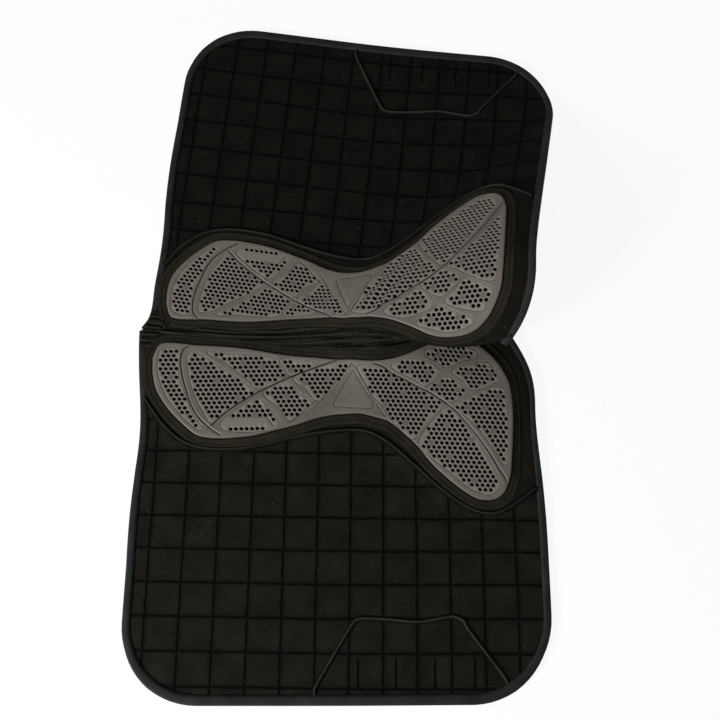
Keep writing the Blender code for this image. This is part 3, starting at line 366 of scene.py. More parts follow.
# %% The drape
STEP = 0.002
GRID_U = np.arange(-0.060, 0.702, STEP)
GRID_V = np.arange(-0.110, 0.622, STEP)
TENT_HEIGHT, TENT_AT, TENT_REACH = 0.016, 0.370, (0.095, 0.050)
LOBE_HEIGHT, LOBE_AT, LOBE_REACH = 0.012, (0.545, 0.125), (0.090, 0.095)
FOLD_FROM, FOLD_LEAN, FOLD_SLOPE, FOLD_SOFTNESS = 0.2142, 0.855, 0.397, 0.014
CREST_V, CREST_REACH = 0.1543, 0.188
RIPPLE_HEIGHT, RIPPLE_LENGTH, RIPPLE_FROM = 0.0010, 0.034, 0.095
RIPPLE_AT, RIPPLE_REACH = (0.100, 0.085), (0.034, 0.055)
RIGHT_SLIP, SLIP_HEIGHT = 0.0043, 0.035
LEFT_SLIP, LEFT_SLIP_FROM, LEFT_SLIP_OVER = 0.009, 0.590, 0.048
LAID_X, LAID_Y, LAID_Z = -0.008161, 0.00019, -0.0001
WIDE = (0.150, 0.130)
# Each tug: the place it acts at, how far it reaches and how far it shifts the cloth.
TUGS = {
    "left": (((.060, .030), WIDE, (-.0019, 0)), ((.060, .190), WIDE, (.0021, 0)),
             ((.320, .430), WIDE, (0, .0013)), ((.590, .030), WIDE, (-.0033, .0063)),
             ((.590, .190), WIDE, (-.0048, .0015)), ((.590, .430), WIDE, (0, -.0023)),
             ((0, 0), (.035, .026), (0, .0070))),
    "right": (((.060, .030), WIDE, (.0095, .0009)), ((.060, .190), WIDE, (-.0018, -.0059)),
              ((.060, .430), WIDE, (-.0019, 0)), ((.320, .030), WIDE, (-.0064, .0036)),
              ((.320, .190), WIDE, (-.0014, -.0034)), ((.320, .430), WIDE, (-.0012, -.0077)),
              ((.590, .030), WIDE, (-.0034, .0041)), ((.590, .190), WIDE, (-.0056, .0031)),
              ((.590, .430), WIDE, (.0021, .0103)), ((0, -.002), (.030, .017), (-.0085, 0)),
              ((0, .042), (.040, .030), (.0030, 0)), ((0, 0), (.035, .022), (0, .0030)),
              ((.530, -.030), (.080, .032), (0, .0120))),
}


def mound(u, v, at, reach):
    """A smooth bump, 1 at a place, with its reach along and out."""
    return bell(u - at[0], reach[0]) * bell(v - at[1], reach[1])


def fold_height(side, u, v):
    """How high the lying pad's surface stands over the pattern's plane."""
    if side == "left":
        tent = TENT_HEIGHT * mound(u, v, (TENT_AT, spine_v(u)), TENT_REACH)
        return tent + LOBE_HEIGHT * mound(u, v, LOBE_AT, LOBE_REACH)
    fold = u - FOLD_FROM - FOLD_LEAN * v
    rise = FOLD_SLOPE * FOLD_SOFTNESS * np.logaddexp(0, fold / FOLD_SOFTNESS)
    ripple = RIPPLE_HEIGHT * np.sin((fold - RIPPLE_FROM) / RIPPLE_LENGTH * 2 * math.pi)
    rise += ripple * mound(fold, v, RIPPLE_AT, RIPPLE_REACH)
    return rise * np.where(v < CREST_V, bell(CREST_V - v, CREST_REACH), 1)


def running_sum(values, origin):
    """The integral of evenly spaced values along the first axis, zero at origin."""
    total = np.vstack([np.zeros((1, values.shape[1])),
                       np.cumsum((values[1:] + values[:-1]) / 2 * STEP, 0)])
    return total - total[origin]


def drape_tables(side):
    """Surface points and unit normals of one half over the grid."""
    u, v = np.meshgrid(GRID_U, GRID_V, indexing="ij")
    height = fold_height(side, u, v)
    slope_u, slope_v = np.gradient(height, STEP)
    lost_u = 1 - np.sqrt(np.maximum(1 - slope_u ** 2, 0))
    lost_v = 1 - np.sqrt(np.maximum(1 - slope_v ** 2, 0))
    drawn_u = running_sum(lost_u, int(round(-GRID_U[0] / STEP)))
    drawn_v = -running_sum(lost_v.T, int(round((PANEL_DROP - GRID_V[0]) / STEP))).T
    if side == "right":
        drawn_u += RIGHT_SLIP * (1 - np.exp(-height / SLIP_HEIGHT))
    else:
        slip = LEFT_SLIP * ramp(u, LEFT_SLIP_FROM, LEFT_SLIP_OVER)
        drawn_u += slip * bell(v - 0.120, 0.110)
    along = u - drawn_u - PANEL_LENGTH / 2
    across = v + drawn_v - spine_v(PANEL_LENGTH / 2)
    for at, reach, (shift_u, shift_v) in TUGS[side]:
        pull = mound(u, v, at, reach)
        along += shift_u * pull
        across += shift_v * pull
    x = along * math.cos(SPLAY) + across * math.sin(SPLAY) + LAID_X
    y = across * math.cos(SPLAY) - along * math.sin(SPLAY)
    y = (y if side == "right" else -y) + LAID_Y
    points = np.stack([x, y, height + LAID_Z], -1)
    normal = np.cross(np.gradient(points, axis=0), np.gradient(points, axis=1))
    normal *= np.sign(normal[..., 2:])
    return points, normal / np.linalg.norm(normal, axis=-1, keepdims=True)


TABLES = {side: drape_tables(side) for side in SIDES}


def lay(side, flat):
    """World places of flat points (u, v, height above the floor side)."""
    points, normals = TABLES[side]
    i = np.clip((flat[:, 0] - GRID_U[0]) / STEP, 0, len(GRID_U) - 1.001)
    j = np.clip((flat[:, 1] - GRID_V[0]) / STEP, 0, len(GRID_V) - 1.001)
    i0, j0 = i.astype(int), j.astype(int)
    s, t = (i - i0)[:, None], (j - j0)[:, None]

    def read(table):
        low = table[i0, j0] * (1 - t) + table[i0, j0 + 1] * t
        high = table[i0 + 1, j0] * (1 - t) + table[i0 + 1, j0 + 1] * t
        return low * (1 - s) + high * s

    up = read(normals)
    up /= np.linalg.norm(up, axis=1, keepdims=True)
    return read(points) + up * flat[:, 2:3]


highest = TABLES["right"][0][..., 2].max()
print("highest point of the right half's fold, m:", round(float(highest), 3))

# %% [markdown]
# These helpers serve the pieces. They read and move a mesh's points as an array, write
# the values its material reads, fill an outline with triangles, close a body's seams
# and turn its faces outwards. The last one sweeps a closed section along a line of the
# pattern, lays it down with the drape and lets it ride on its half.

# %% Piece helpers
def points_of(mesh):
    """A mesh's points as an array."""
    flat = np.empty(len(mesh.vertices) * 3)
    mesh.vertices.foreach_get("co", flat)
    return flat.reshape(-1, 3)


def set_points(mesh, points):
    """Moves every point of a mesh."""
    mesh.vertices.foreach_set("co", np.asarray(points, float).ravel())
    mesh.update()


def finish_piece(mesh, materials, weld=0.00002, sharp=None):
    """Welds doubles, caps open ends, turns faces out and makes the object."""
    bm = bmesh.new()
    bm.from_mesh(mesh)
    bmesh.ops.remove_doubles(bm, verts=bm.verts, dist=weld)
    rims = [edge for edge in bm.edges if edge.is_boundary]
    if rims:
        bmesh.ops.holes_fill(bm, edges=rims)
    bmesh.ops.recalc_face_normals(bm, faces=bm.faces)
    bm.to_mesh(mesh)
    bm.free()
    mesh.shade_smooth()
    if sharp:
        mesh.set_sharp_from_angle(angle=math.radians(sharp))
    for material in materials:
        mesh.materials.append(material)
    return new_object(mesh.name, mesh)


def blank_grid(name, across, along):
    """A create_grid sheet whose points are placed afterwards."""
    bm = bmesh.new()
    bmesh.ops.create_grid(bm, x_segments=across, y_segments=along, size=1)
    return new_mesh(name, bm)


def write_value(mesh, name, values):
    """An attribute with one value for each point, which a material can read."""
    layer = mesh.attributes.new(name, "FLOAT", "POINT")
    layer.data.foreach_set("value", np.asarray(values, float).ravel())


def write_uv(mesh, pairs):
    """A UV map with one pair of values for each point of the mesh."""
    layer = mesh.uv_layers.new(name="cloth")
    corner = np.empty(len(mesh.loops), int)
    mesh.loops.foreach_get("vertex_index", corner)
    layer.data.foreach_set("uv", np.asarray(pairs, float)[corner].ravel())


def line_normals(line, closed):
    """Unit normals on the left of a line's points."""
    if closed:
        run = np.roll(line, -1, 0) - np.roll(line, 1, 0)
    else:
        run = np.gradient(line, axis=0)
    run = run / np.linalg.norm(run, axis=1, keepdims=True)
    return np.stack([-run[:, 1], run[:, 0]], 1)


def triangulated(points, links, loop, tolerance):
    """Points and linked rows joined into triangles, kept where they lie inside a loop."""
    found = delaunay_2d_cdt([Vector(p) for p in points], links, [], 0, tolerance)
    flat, faces = np.array([tuple(p) for p in found[0]]), np.array(found[2])
    middles = flat[faces].mean(1)
    clear = to_line(middles, loop, True)[0] > tolerance / 2
    return flat, faces[within(middles, loop) & clear]


def ribbon(name, side, line, profile, material, closed=False):
    """A tape or cord: one closed section of (aside, height) at each point of a line."""
    outline = np.asarray(profile(line), float)
    outline = np.concatenate([outline, outline[:, :1]], 1)
    normals = line_normals(line, closed)
    if closed:
        line, normals = (np.vstack([a, a[:1]]) for a in (line, normals))
        outline = np.concatenate([outline, outline[:1]], 0)
    rows, ring = outline.shape[:2]
    mesh = blank_grid(name, ring - 1, rows - 1)
    flat = line[:, None, :] + normals[:, None, :] * outline[:, :, :1]
    flat = np.concatenate([flat, outline[:, :, 1:]], 2).reshape(-1, 3)
    run = np.r_[0, np.cumsum(np.linalg.norm(np.diff(line, axis=0), axis=1))]
    girth = np.cumsum(np.linalg.norm(np.diff(outline[0], axis=0, prepend=outline[0, :1]), axis=1))
    write_uv(mesh, np.stack([np.repeat(run, ring), np.tile(girth, rows)], 1))
    set_points(mesh, lay(side, flat))
    piece = finish_piece(mesh, [material])
    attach(piece, f"{side}_half")
    return piece


# %% [markdown]
# The lining is brushed polyester-cotton: matt, almost black, with a short nap that catches lint.
# Its UV map counts quilting squares, so the lockstitch along every square's edge can be drawn as
# short dashes just where the attribute "quilted" is 1, and painted shade darkens the cloth in and
# beside each stitched crease.
# The two halves are cut as mirror images, and the right one's lining is a darker copy of the same
# cloth, painted shade for the light that falls off towards that half. The outer cloth is a
# smoother cotton twill with a fine diagonal.

# %% Quilted cloth materials
STITCH_WIDTH, STITCHES, STITCH_SHARE = 0.012, 14.0, 0.7


def to_seam(tree, place):
    """How far a place is from the nearest quilting line, in squares."""
    shifted = maths(tree, "FRACT", maths(tree, "ADD", place, 0.5))
    return maths(tree, "ABSOLUTE", maths(tree, "SUBTRACT", shifted, 0.5))


def with_lint(tree, uv, cloth, share):
    """The cloth's colour with a pale fleck in a few of many small cells."""
    cells = add(tree, "TexVoronoi", {"Vector": uv, "Scale": 8.0, "Randomness": 1.0}).outputs
    rare = add(tree, "SeparateColor", {"Color": cells["Color"]}).outputs["Red"]
    fleck = maths(tree, "MULTIPLY", maths(tree, "GREATER_THAN", rare, 1 - share),
                  maths(tree, "LESS_THAN", cells["Distance"], 0.075))
    return mixed_colour(tree, maths(tree, "MULTIPLY", fleck, 0.45), cloth, linear("a7a49c"))


def quilted_cloth(name, hex_colour, lint, twill=False):
    """Napped cloth with painted shade in and beside its slightly ragged creases, and stitches on
    the quilting.
    """
    material, tree, shader = new_material(name, hex_colour, 0.92, 0.05)
    uv = add(tree, "UVMap", uv_map="cloth").outputs[0]
    quilted = attribute(tree, "quilted")
    nap = noise(tree, uv, 26.0, 5.0, 0.7)
    cloud = noise(tree, uv, 1.3, 3.0)
    tone = spread(tree, maths(tree, "MULTIPLY_ADD", cloud, 0.35, nap), 0.53, 0.80)
    cloth = mixed_colour(tree, tone, linear(hex_colour, 0.40), linear(hex_colour, 1.75))
    cloth = with_lint(tree, uv, cloth, lint)

    parts = add(tree, "SeparateXYZ", {"Vector": uv}).outputs
    gaps = [to_seam(tree, parts[axis]) for axis in ("X", "Y")]
    ragged = spread(tree, noise(tree, uv, 9.0, 3.0), 0.3, 0.7, -0.018, 0.020)
    gap = maths(tree, "ADD", maths(tree, "MINIMUM", *gaps), ragged)
    # painted shade: a soft dark halo beside each quilting line, where the puffs' flanks turn from
    # the light
    shade = spread(tree, gap, 0.02, 0.17, 0.42, 0.0, interpolation_type="SMOOTHSTEP")
    shade = maths(tree, "MULTIPLY", shade, quilted)
    cloth = mixed_colour(tree, shade, cloth, linear("050504"))
    # painted shade: a near-black core in each stitched crease; the same mask also sets the
    # crease's dip in the relief
    crease = spread(tree, gap, 0.016, 0.048, 0.94, 0.0, interpolation_type="SMOOTHSTEP")
    crease = maths(tree, "MULTIPLY", crease, quilted)
    cloth = mixed_colour(tree, crease, cloth, linear("030302"))

    seams = []
    for gap, other in zip(gaps, ("Y", "X")):
        on_line = maths(tree, "LESS_THAN", gap, STITCH_WIDTH)
        dash = maths(tree, "FRACT", maths(tree, "MULTIPLY", parts[other], STITCHES))
        dash = maths(tree, "LESS_THAN", dash, STITCH_SHARE)
        seams.append(maths(tree, "MULTIPLY", on_line, dash))
    thread = maths(tree, "MULTIPLY", maths(tree, "MAXIMUM", *seams), quilted)
    if twill:
        weave = add(tree, "TexWave", {"Vector": uv, "Scale": 9.0, "Distortion": 0.6,
                                      "Detail": 1.0}, bands_direction="DIAGONAL").outputs["Fac"]
    else:
        weave = noise(tree, uv, 16.0, 6.0, 0.7)
    relief = maths(tree, "MULTIPLY_ADD", thread, -0.5, maths(tree, "ADD", weave, nap))
    relief = maths(tree, "MULTIPLY_ADD", crease, -3.2, relief)
    dressed(tree, shader, cloth, relief, 0.55, 0.0010)
    return material


lining_cloth = {
    "left": quilted_cloth("brushed_polycotton_lining", "151410", 0.10),
    # painted shade: the right lining is the same cloth made darker, for the light falling off
    # towards that half
    "right": quilted_cloth("brushed_polycotton_lining_painted_shade", "0f0e0b", 0.10)}
outer_cloth = quilted_cloth("cotton_twill_outer", "171718", 0.02, twill=True)
print("cloth materials made")

# %% [markdown]
# Each half is lining, wadding and outer cloth stitched through in 50 mm squares. The
# work starts from a flat sheet whose mesh follows the quilting's own grid, so that every
# stitched line falls on edges. Where the squares start, where the corded lines run and
# where the keeper's rows are sewn was measured in the photograph.

# %% Quilting plan
SQUARE, CELLS, GRID_SQUARES = 0.050, 8, 14
QUILT_START = {"left": (0.038, 0.0), "right": (0.0358, 0.040)}
GEL_PIPING = curve([(14, 116), (28, 137), (44, 159), (66, 179), (88, 191), (118, 197),
                    (152, 197), (188, 192), (238, 179), (288, 168), (338, 163), (368, 167),
                    (398, 184), (438, 218), (478, 254), (513, 279), (538, 289), (563, 289),
                    (591, 274), (624, 250)], 3) / 1000
PATCH_LINE = curve([(288, 560), (293, 542), (340, 461), (350, 451), (362, 449), (400, 451),
                    (440, 454), (478, 448), (492, 447), (506, 454), (514, 468), (560, 528),
                    (568, 542)], 3) / 1000
KEEPER_ROWS = np.array([0.350, 0.405, 0.462, 0.520])
KEEPER_FROM_V, KEEPER_TO_V = 0.507, 0.552
EDGE_CUT, SEAM_CUT, SEAM_SNAP, SEAM_ROOM = 0.0050, 0.003, 0.0085, 0.0006
ON_STITCHES, UNDER_PIPING, UNDER_BINDING, CORD_FURROW = 0.01, 0.004, 0.012, 0.0032


def quilt_grid(side):
    """The half's flat sheet on its quilting grid, cut roughly to its outline."""
    start_u, start_v = QUILT_START[side]
    bm = bmesh.new()
    steps, size = GRID_SQUARES * CELLS, GRID_SQUARES * SQUARE
    bmesh.ops.create_grid(bm, x_segments=steps, y_segments=steps, size=0.5)
    bmesh.ops.translate(bm, verts=bm.verts, vec=(0.5, 0.5, 0))
    bmesh.ops.scale(bm, verts=bm.verts, vec=(size, size, 1))
    bmesh.ops.translate(bm, verts=bm.verts, vec=(start_u - SQUARE, start_v - 2 * SQUARE, 0))
    middles = np.array([face.calc_center_median()[:2] for face in bm.faces])
    keep = within(middles, PANEL) & (to_line(middles, EDGE)[0] > EDGE_CUT)
    keep &= middles[:, 1] > seam_v(middles[:, 0]) + SEAM_CUT
    drop = [face for face, kept in zip(bm.faces, keep) if not kept]
    bmesh.ops.delete(bm, geom=drop, context="FACES")
    for v in bm.verts:
        if v.is_boundary and abs(v.co.y - seam_v(v.co.x)) < SEAM_SNAP:
            v.co.y = seam_v(v.co.x) + SEAM_ROOM
    return new_mesh("quilting_plan", bm)


def in_squares(side, flat):
    """Places counted in quilting squares from the half's first stitched corner."""
    return (flat[:, :2] - QUILT_START[side]) / SQUARE


def beyond_gel(flat):
    """How far places lie outside the gel's piping, towards the pad's far side."""
    return flat[:, 1] - np.interp(flat[:, 0], GEL_PIPING[:, 0], GEL_PIPING[:, 1])


def held_points(side, flat):
    """Which points the stitching holds, and where the pad is quilted at all."""
    squares = in_squares(side, flat)
    stitched = np.abs(squares - np.round(squares)).min(1) < ON_STITCHES
    quilted = beyond_gel(flat) > UNDER_PIPING
    bound = to_line(flat[:, :2], EDGE)[0] < UNDER_BINDING
    corded = to_line(flat[:, :2], PATCH_LINE)[0] < CORD_FURROW
    rows = np.abs(flat[:, :1] - KEEPER_ROWS).min(1) < CORD_FURROW
    corded |= rows & (flat[:, 1] > KEEPER_FROM_V) & (flat[:, 1] < KEEPER_TO_V)
    return stitched | ~quilted | bound | corded, quilted


print("quilting squares, m:", SQUARE, "each in", CELLS, "by", CELLS, "faces")

# %% [markdown]
# Wadding pushes the cloth up between the stitches. Cushions drawn by a formula would be
# too even, so the sheet is blown up by the cloth simulation while its stitched lines are
# held, with a little spare cloth so that it puckers at the seams.

# %% Puffs
CLOTH = {"quality": 5, "mass": 0.25, "tension_stiffness": 20, "compression_stiffness": 20,
         "bending_stiffness": 0.4, "vertex_group_mass": "stitched", "shrink_min": -0.035,
         "use_pressure": True, "uniform_pressure_force": 3.0}
PUFF_FRAMES, MOST_SHIFT, QUICK_PUFF = 22, 0.0015, 0.0040
PUFF_TOP, PUFF_BEND, PUFF_SHARE, PUFF_MOST = 0.0026, 0.0024, 0.40, 0.0065


def puffed(side, mesh):
    """The heights of the stuffed squares, from a short cloth simulation."""
    flat = points_of(mesh)
    held, quilted = held_points(side, flat)
    sheet = new_object("blown_sheet", mesh.copy())
    group = sheet.vertex_groups.new(name="stitched")
    group.add([int(i) for i in np.flatnonzero(held)], 1.0, "REPLACE")
    cloth = sheet.modifiers.new("cloth", "CLOTH")
    for name, value in CLOTH.items():
        setattr(cloth.settings, name, value)
    cloth.settings.effector_weights.gravity = 0
    cloth.collision_settings.use_collision = False
    for step in range(1, PUFF_FRAMES + 1):
        scene.frame_set(step)
    solved = sheet.evaluated_get(bpy.context.evaluated_depsgraph_get())
    blown = points_of(solved.data)
    bpy.data.objects.remove(sheet)
    scene.frame_set(1)
    flat[:, :2] += np.clip(blown[:, :2] - flat[:, :2], -MOST_SHIFT, MOST_SHIFT)
    rise = np.clip(blown[:, 2], 0, None)
    print("highest puff, mm:", round(float(rise.max() * 1000), 1))
    puff = PUFF_TOP * np.tanh(rise / PUFF_BEND) + PUFF_SHARE * np.clip(rise, 0, PUFF_MOST)
    return flat, puff, quilted


print("frames of cloth simulation for the puffs:", PUFF_FRAMES)

# %% [markdown]
# The puffs are added on top of the pad's own thickness, which rises to its full height
# under the gel. The sheet is extruded into a closed body while it is still flat, with
# room for the girth patch below, then made finer and laid down by the drape.

# %% Quilted halves
PATCH_SHAPE = np.array([(0.291, 0.560), (0.298, 0.540), (0.342, 0.462), (0.356, 0.453),
                        (0.480, 0.453), (0.500, 0.456), (0.512, 0.470), (0.556, 0.530),
                        (0.562, 0.556), (0.556, 0.560)])[::-1]
BASE_TOP, GEL_SEAT, BASE_LOW, OVER_PATCH = 0.0062, 0.0092, 0.0014, 0.0012
THIN_OVER, EDGE_OVER = 0.030, 0.022
PATCH_SLOPE, UNDER_SAG, SAG_FROM = 0.006, 0.22, 0.0068


def pad_thickness(flat):
    """The lining's height without its puffs: full under the gel, thinner further out."""
    base = GEL_SEAT + (BASE_TOP - GEL_SEAT) * ease(beyond_gel(flat) / THIN_OVER)
    edge = to_line(flat[:, :2], EDGE)[0]
    return base + (BASE_TOP - base) * ease(1 - edge / EDGE_OVER)


def quilted_half(side):
    """One half's stuffed body: the lining above, the outer cloth below."""
    mesh = quilt_grid(side)
    flat, puff, quilted = puffed(side, mesh)
    flat[:, 2] = pad_thickness(flat) + puff
    write_uv(mesh, in_squares(side, flat))
    write_value(mesh, "quilted", quilted)
    set_points(mesh, flat)
    bm = bmesh.new()
    bm.from_mesh(mesh)
    lifted = set(bm.verts)
    bmesh.ops.extrude_face_region(bm, geom=list(bm.faces), use_keep_orig=True)
    low = [v for v in bm.verts if v not in lifted]
    low_faces = {f for f in bm.faces if all(v not in lifted for v in f.verts)}
    places = np.array([v.co[:2] for v in low])
    away = to_line(places, PATCH_SHAPE, True)[0] * (1 - 2 * within(places, PATCH_SHAPE))
    for v, lift in zip(low, ease(1 - away / PATCH_SLOPE)):
        sag = UNDER_SAG * max(v.co.z - SAG_FROM, 0) * (v.co.y > 0) * (1 - lift)
        v.co.z = BASE_LOW + OVER_PATCH * lift - sag
    for f in low_faces:
        f.material_index = 1
    bm.to_mesh(mesh)
    bm.free()
    body = new_object("body", mesh)
    smooth = body.modifiers.new("finer", "SUBSURF")
    smooth.levels = smooth.render_levels = 1
    solved = body.evaluated_get(bpy.context.evaluated_depsgraph_get())
    finer = bpy.data.meshes.new_from_object(solved)
    bpy.data.objects.remove(body)
    finer.name = f"quilted_half_{side}"
    set_points(finer, lay(side, points_of(finer)))
    half = finish_piece(finer, [])
    half.data.materials.clear()
    half.data.materials.append(lining_cloth[side])
    half.data.materials.append(outer_cloth)
    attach(half, f"{side}_half")
    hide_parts(f"outer_cover_{side}", f"wadding_{side}", f"lining_{side}")
    print(half.name, len(half.data.polygons), "faces")


for side in SIDES:
    quilted_half(side)

# %% [markdown]
# The gel insert is a moulded thermoplastic-rubber pad, warm grey and satin, 5 mm thick.
# Its surface is divided by smooth ribs and two long grooves into fields with hundreds
# of round air holes on a hexagonal lattice. Holes this small and this many would make
# boolean cuts heavy, so the outline, the ribs' edges and every hole's ring are joined
# into one triangulated sheet, which is lifted by a relief and extruded down.

# %% Gel drawing
# Places are in millimetres on the pattern: along from the rear, out from the spine.
def drawn(points):
    """Pattern places of points measured from the pad's middle, in millimetres."""
    return np.array(points, float) * (1, -1) + (38.5, 152.7)


GEL_OUTLINE = drawn([
    (0, 125), (38, 124.5), (42, 123.6), (55, 122.6), (98, 121), (134, 118), (169, 112.6),
    (205, 108), (241, 106), (276, 104), (300, 105), (324, 104), (347, 105.6), (369, 110),
    (391, 118), (413, 128), (430, 137), (450, 143), (470, 144), (490, 141), (505, 134),
    (513, 128), (524, 117), (536, 99), (547, 75), (551, 53), (553, 19), (552, -14),
    (550, -47), (547, -76), (542, -92), (536, -105), (524, -115), (509, -118), (491, -115),
    (469, -101), (447, -83), (424, -61), (402, -34), (380, -14), (358, 3), (336, 10),
    (313, 15), (291, 14), (265, 11), (241, 5), (217, -4), (193, -11), (169, -18),
    (145, -24), (122, -27), (98, -29), (74, -28), (57, -23), (38, -8), (19, 11), (3, 32),
    (-7, 51), (-12, 73), (-13, 92), (-12, 104)])
GROOVES = [drawn(line) for line in (
    [(333, 100), (347, 95), (363, 83), (380, 75), (400, 64), (424, 52), (444, 39), (451, 34),
     (464, 24), (480, 6), (493, -10), (504, -25), (516, -43), (527, -63), (536, -78), (540, -88)],
    [(274, 102), (253, 94), (224, 82), (199, 71), (174, 58), (150, 45), (122, 27), (98, 8),
     (82, -9)],
    [(42, 121), (34, 113), (31, 96), (34, 73), (40, 51), (48, 27), (60, 6), (79, -12), (96, -24)])]
FIELDS = [drawn(field) for field in (
    [(2.6, 112), (26, 113), (26, 75), (31, 58), (38, 39), (49, 11), (62, -8), (69, -13), (60, -12),
     (43, 2), (24, 23), (11, 42), (3, 61), (-2, 82), (-1, 104)],
    [(45, 108), (63, 104), (88, 87), (122, 65), (145, 45), (122, 30), (98, 13), (82, -2), (72, 13),
     (60, 34), (50, 61), (44, 92)],
    [(73, 111), (98, 107), (145, 105), (178, 101), (192, 74), (155, 55), (136, 70), (98, 99)],
    [(189, 99), (242, 95), (219, 83), (203, 77)],
    [(210, 71), (253, 90), (295, 96), (276, 68), (247, 37), (229, 56)],
    [(164, 46), (198, 64), (212, 46), (238, 30), (217, 13), (203, 4), (189, 23)],
    [(150, 34), (169, 20), (184, -5), (160, -14), (112, -15), (98, -7), (112, 7)],
    [(415, 118), (433, 125), (463, 133), (494, 125), (497, 117), (471, 108), (450, 97),
     (436, 105)],
    [(363, 97), (387, 106), (409, 104), (438, 90), (416, 66), (401, 76), (382, 84)],
    [(462, 90), (511, 105), (521, 96), (530, 84), (529, 76), (493, 60), (476, 76)],
    [(422, 60), (449, 78), (467, 69), (480, 54), (454, 39), (436, 50)],
    [(464, 30), (476, 37), (516, 59), (536, 62), (539, 50), (543, 19), (543, -25), (541, -45),
     (539, -60), (529, -41), (502, -3), (487, 12)],
    [(311, 93), (337, 94), (353, 89), (369, 79), (396, 66), (418, 54), (444, 36), (422, 10),
     (396, -21), (380, -8), (364, 8), (347, 33), (333, 48), (322, 70)],
    [(453, 26), (471, 9), (489, -14), (502, -34), (516, -61), (528, -92), (520, -103),
     (509, -107), (484, -97), (458, -75), (422, -47), (408, -31), (422, -5), (440, 15)])]
BARE_STRIP = drawn([(96, 3), (196, 3), (196, -10), (96, -10)])
HOLE_PITCH, HOLE_RADIUS, HOLE_RIM = 8.28, 2.95, 0.40
GEL_TOP, GEL_EDGE = 5.0, 3.4
INSIDE_GEL, FRONT_LOBE_FROM = (300, 100), 340
FRONT_ROWS = (518.5, 131.6), math.radians(1.0), True
REAR_ROWS = (138.5, 81.0), math.radians(-2.4), False


def gel_border(step):
    """The insert's outline with its inside on the left."""
    line = curve(GEL_OUTLINE, step, closed=True)
    side = to_line(np.array([INSIDE_GEL]), line, True)[1][0]
    return line if side > 0 else line[::-1]


def lattice(rows_from, angle, lobe):
    """Hole centres on a hexagonal lattice through one lobe's rows."""
    rows, columns = np.meshgrid(np.arange(-40, 41), np.arange(-45, 46), indexing="ij")
    x = (columns + 0.5 * (rows % 2)) * HOLE_PITCH
    y = rows * HOLE_PITCH * math.sqrt(0.75)
    c, s = math.cos(angle), math.sin(angle)
    spots = np.stack([rows_from[0] + x * c - y * s, rows_from[1] + x * s + y * c], -1)
    spots = spots.reshape(-1, 2)
    return spots[(spots[:, 0] > FRONT_LOBE_FROM) == lobe]


def hole_centres():
    """Every hole that a field has room for."""
    spots = np.vstack([lattice(*FRONT_ROWS), lattice(*REAR_ROWS)])
    room = np.zeros(len(spots), bool)
    for field in FIELDS:
        room |= within(spots, field) & (to_line(spots, field, True)[0] > 0.1)
    return spots[room & ~within(spots, BARE_STRIP)]


BORDER = gel_border(3.0)
HOLES = hole_centres()
FILLED_AT = drawn([(436, 117), (478, 117), (482, 85), (519, 89), (416, 86), (391, 98), (357, 72),
                   (383, 48), (351, 34), (415, 27), (466, 54), (438, 68), (386, -2), (427, -28),
                   (451, -3), (484, -23), (454, -52), (487, -84), (521, -6), (512, 25), (484, 32),
                   (530, 53), (88, 60), (120, 38), (160, 88), (126, 92), (200, 40), (226, 62),
                   (262, 72), (64, 84), (150, 6), (14, 70), (205, 86)])
FAINT = np.zeros(len(HOLES), bool)
for spot in FILLED_AT:
    FAINT[np.argmin(np.hypot(*(HOLES - spot).T))] = True
print("holes in one gel insert:", len(HOLES), "of them filled in moulding:", int(FAINT.sum()))

# %% [markdown]
# The relief is one function of place: the smooth ribs stand at full height, each hole
# field is sunk a little behind a fine dark moulding line, and the grooves run between
# a narrow valley and a raised lip.

# %% Gel relief
FIELD_MARGIN, FIELD_SUNK, MOULD_LINE = 3.4, 0.18, 0.60
EDGE_ROUND, RIM_HEIGHT, RIM_AT, RIM_REACH = 3.0, 0.15, 4.5, 1.6
GROOVE_DEPTH, GROOVE_REACH, WAIST_DEPTH, WAIST_REACH = 1.7, 0.95, 0.8, 0.7
LIP_HEIGHT, LIP_ASIDE, LIP_REACH = 0.30, 3.0, 1.3


def field_line(field):
    """A hole field's moulded edge, just outside its holes."""
    line = curve(field, 3.0, closed=True)
    away = line_normals(line, True)
    out = line + away * FIELD_MARGIN
    if within(out, line).mean() > 0.5:
        out = line - away * FIELD_MARGIN
    keep = to_line(out, line, True)[0] > FIELD_MARGIN * 0.93
    return respaced(out[keep], 3.0, closed=True)


FIELD_LINES = [field_line(field) for field in FIELDS]
GROOVE_LINES = [curve(line, 3.0) for line in GROOVES]
WAIST_LINES = [curve(drawn(line), 3.0) for line in (
    [(300, 99), (306, 92), (317, 70), (331, 43), (346, 20), (358, 4)],
    [(300, 99), (290, 87), (270, 62), (250, 34), (240, 20)],
    [(302, 88), (316, 62), (333, 33), (332, 27), (326, 24), (278, 26), (272, 29), (273, 36),
     (302, 88)],
    [(178, -8), (150, 33)], [(243, 34.5), (204, -1)])]


def gel_height(flat):
    """The moulded surface's height over the insert's underside, in millimetres."""
    gap = to_line(flat, BORDER, True)[0]
    inward = np.clip(gap / EDGE_ROUND, 0, 1)
    height = GEL_EDGE + (GEL_TOP - GEL_EDGE) * np.sqrt(1 - (1 - inward) ** 2)
    height += RIM_HEIGHT * bell(gap - RIM_AT, RIM_REACH)
    for field in FIELD_LINES:
        depth = to_line(flat, field, True)[0] * np.where(within(flat, field), 1, -1)
        height -= FIELD_SUNK * ease(depth / 1.2) + MOULD_LINE * bell(depth - 0.4, 0.55)
    for line in GROOVE_LINES:
        away, side = to_line(flat, line)
        height -= GROOVE_DEPTH * bell(away, GROOVE_REACH)
        height += LIP_HEIGHT * bell(away * side + LIP_ASIDE, LIP_REACH) * (away < 8)
    for line in WAIST_LINES:
        height -= WAIST_DEPTH * bell(to_line(flat, line)[0], WAIST_REACH)
    return height


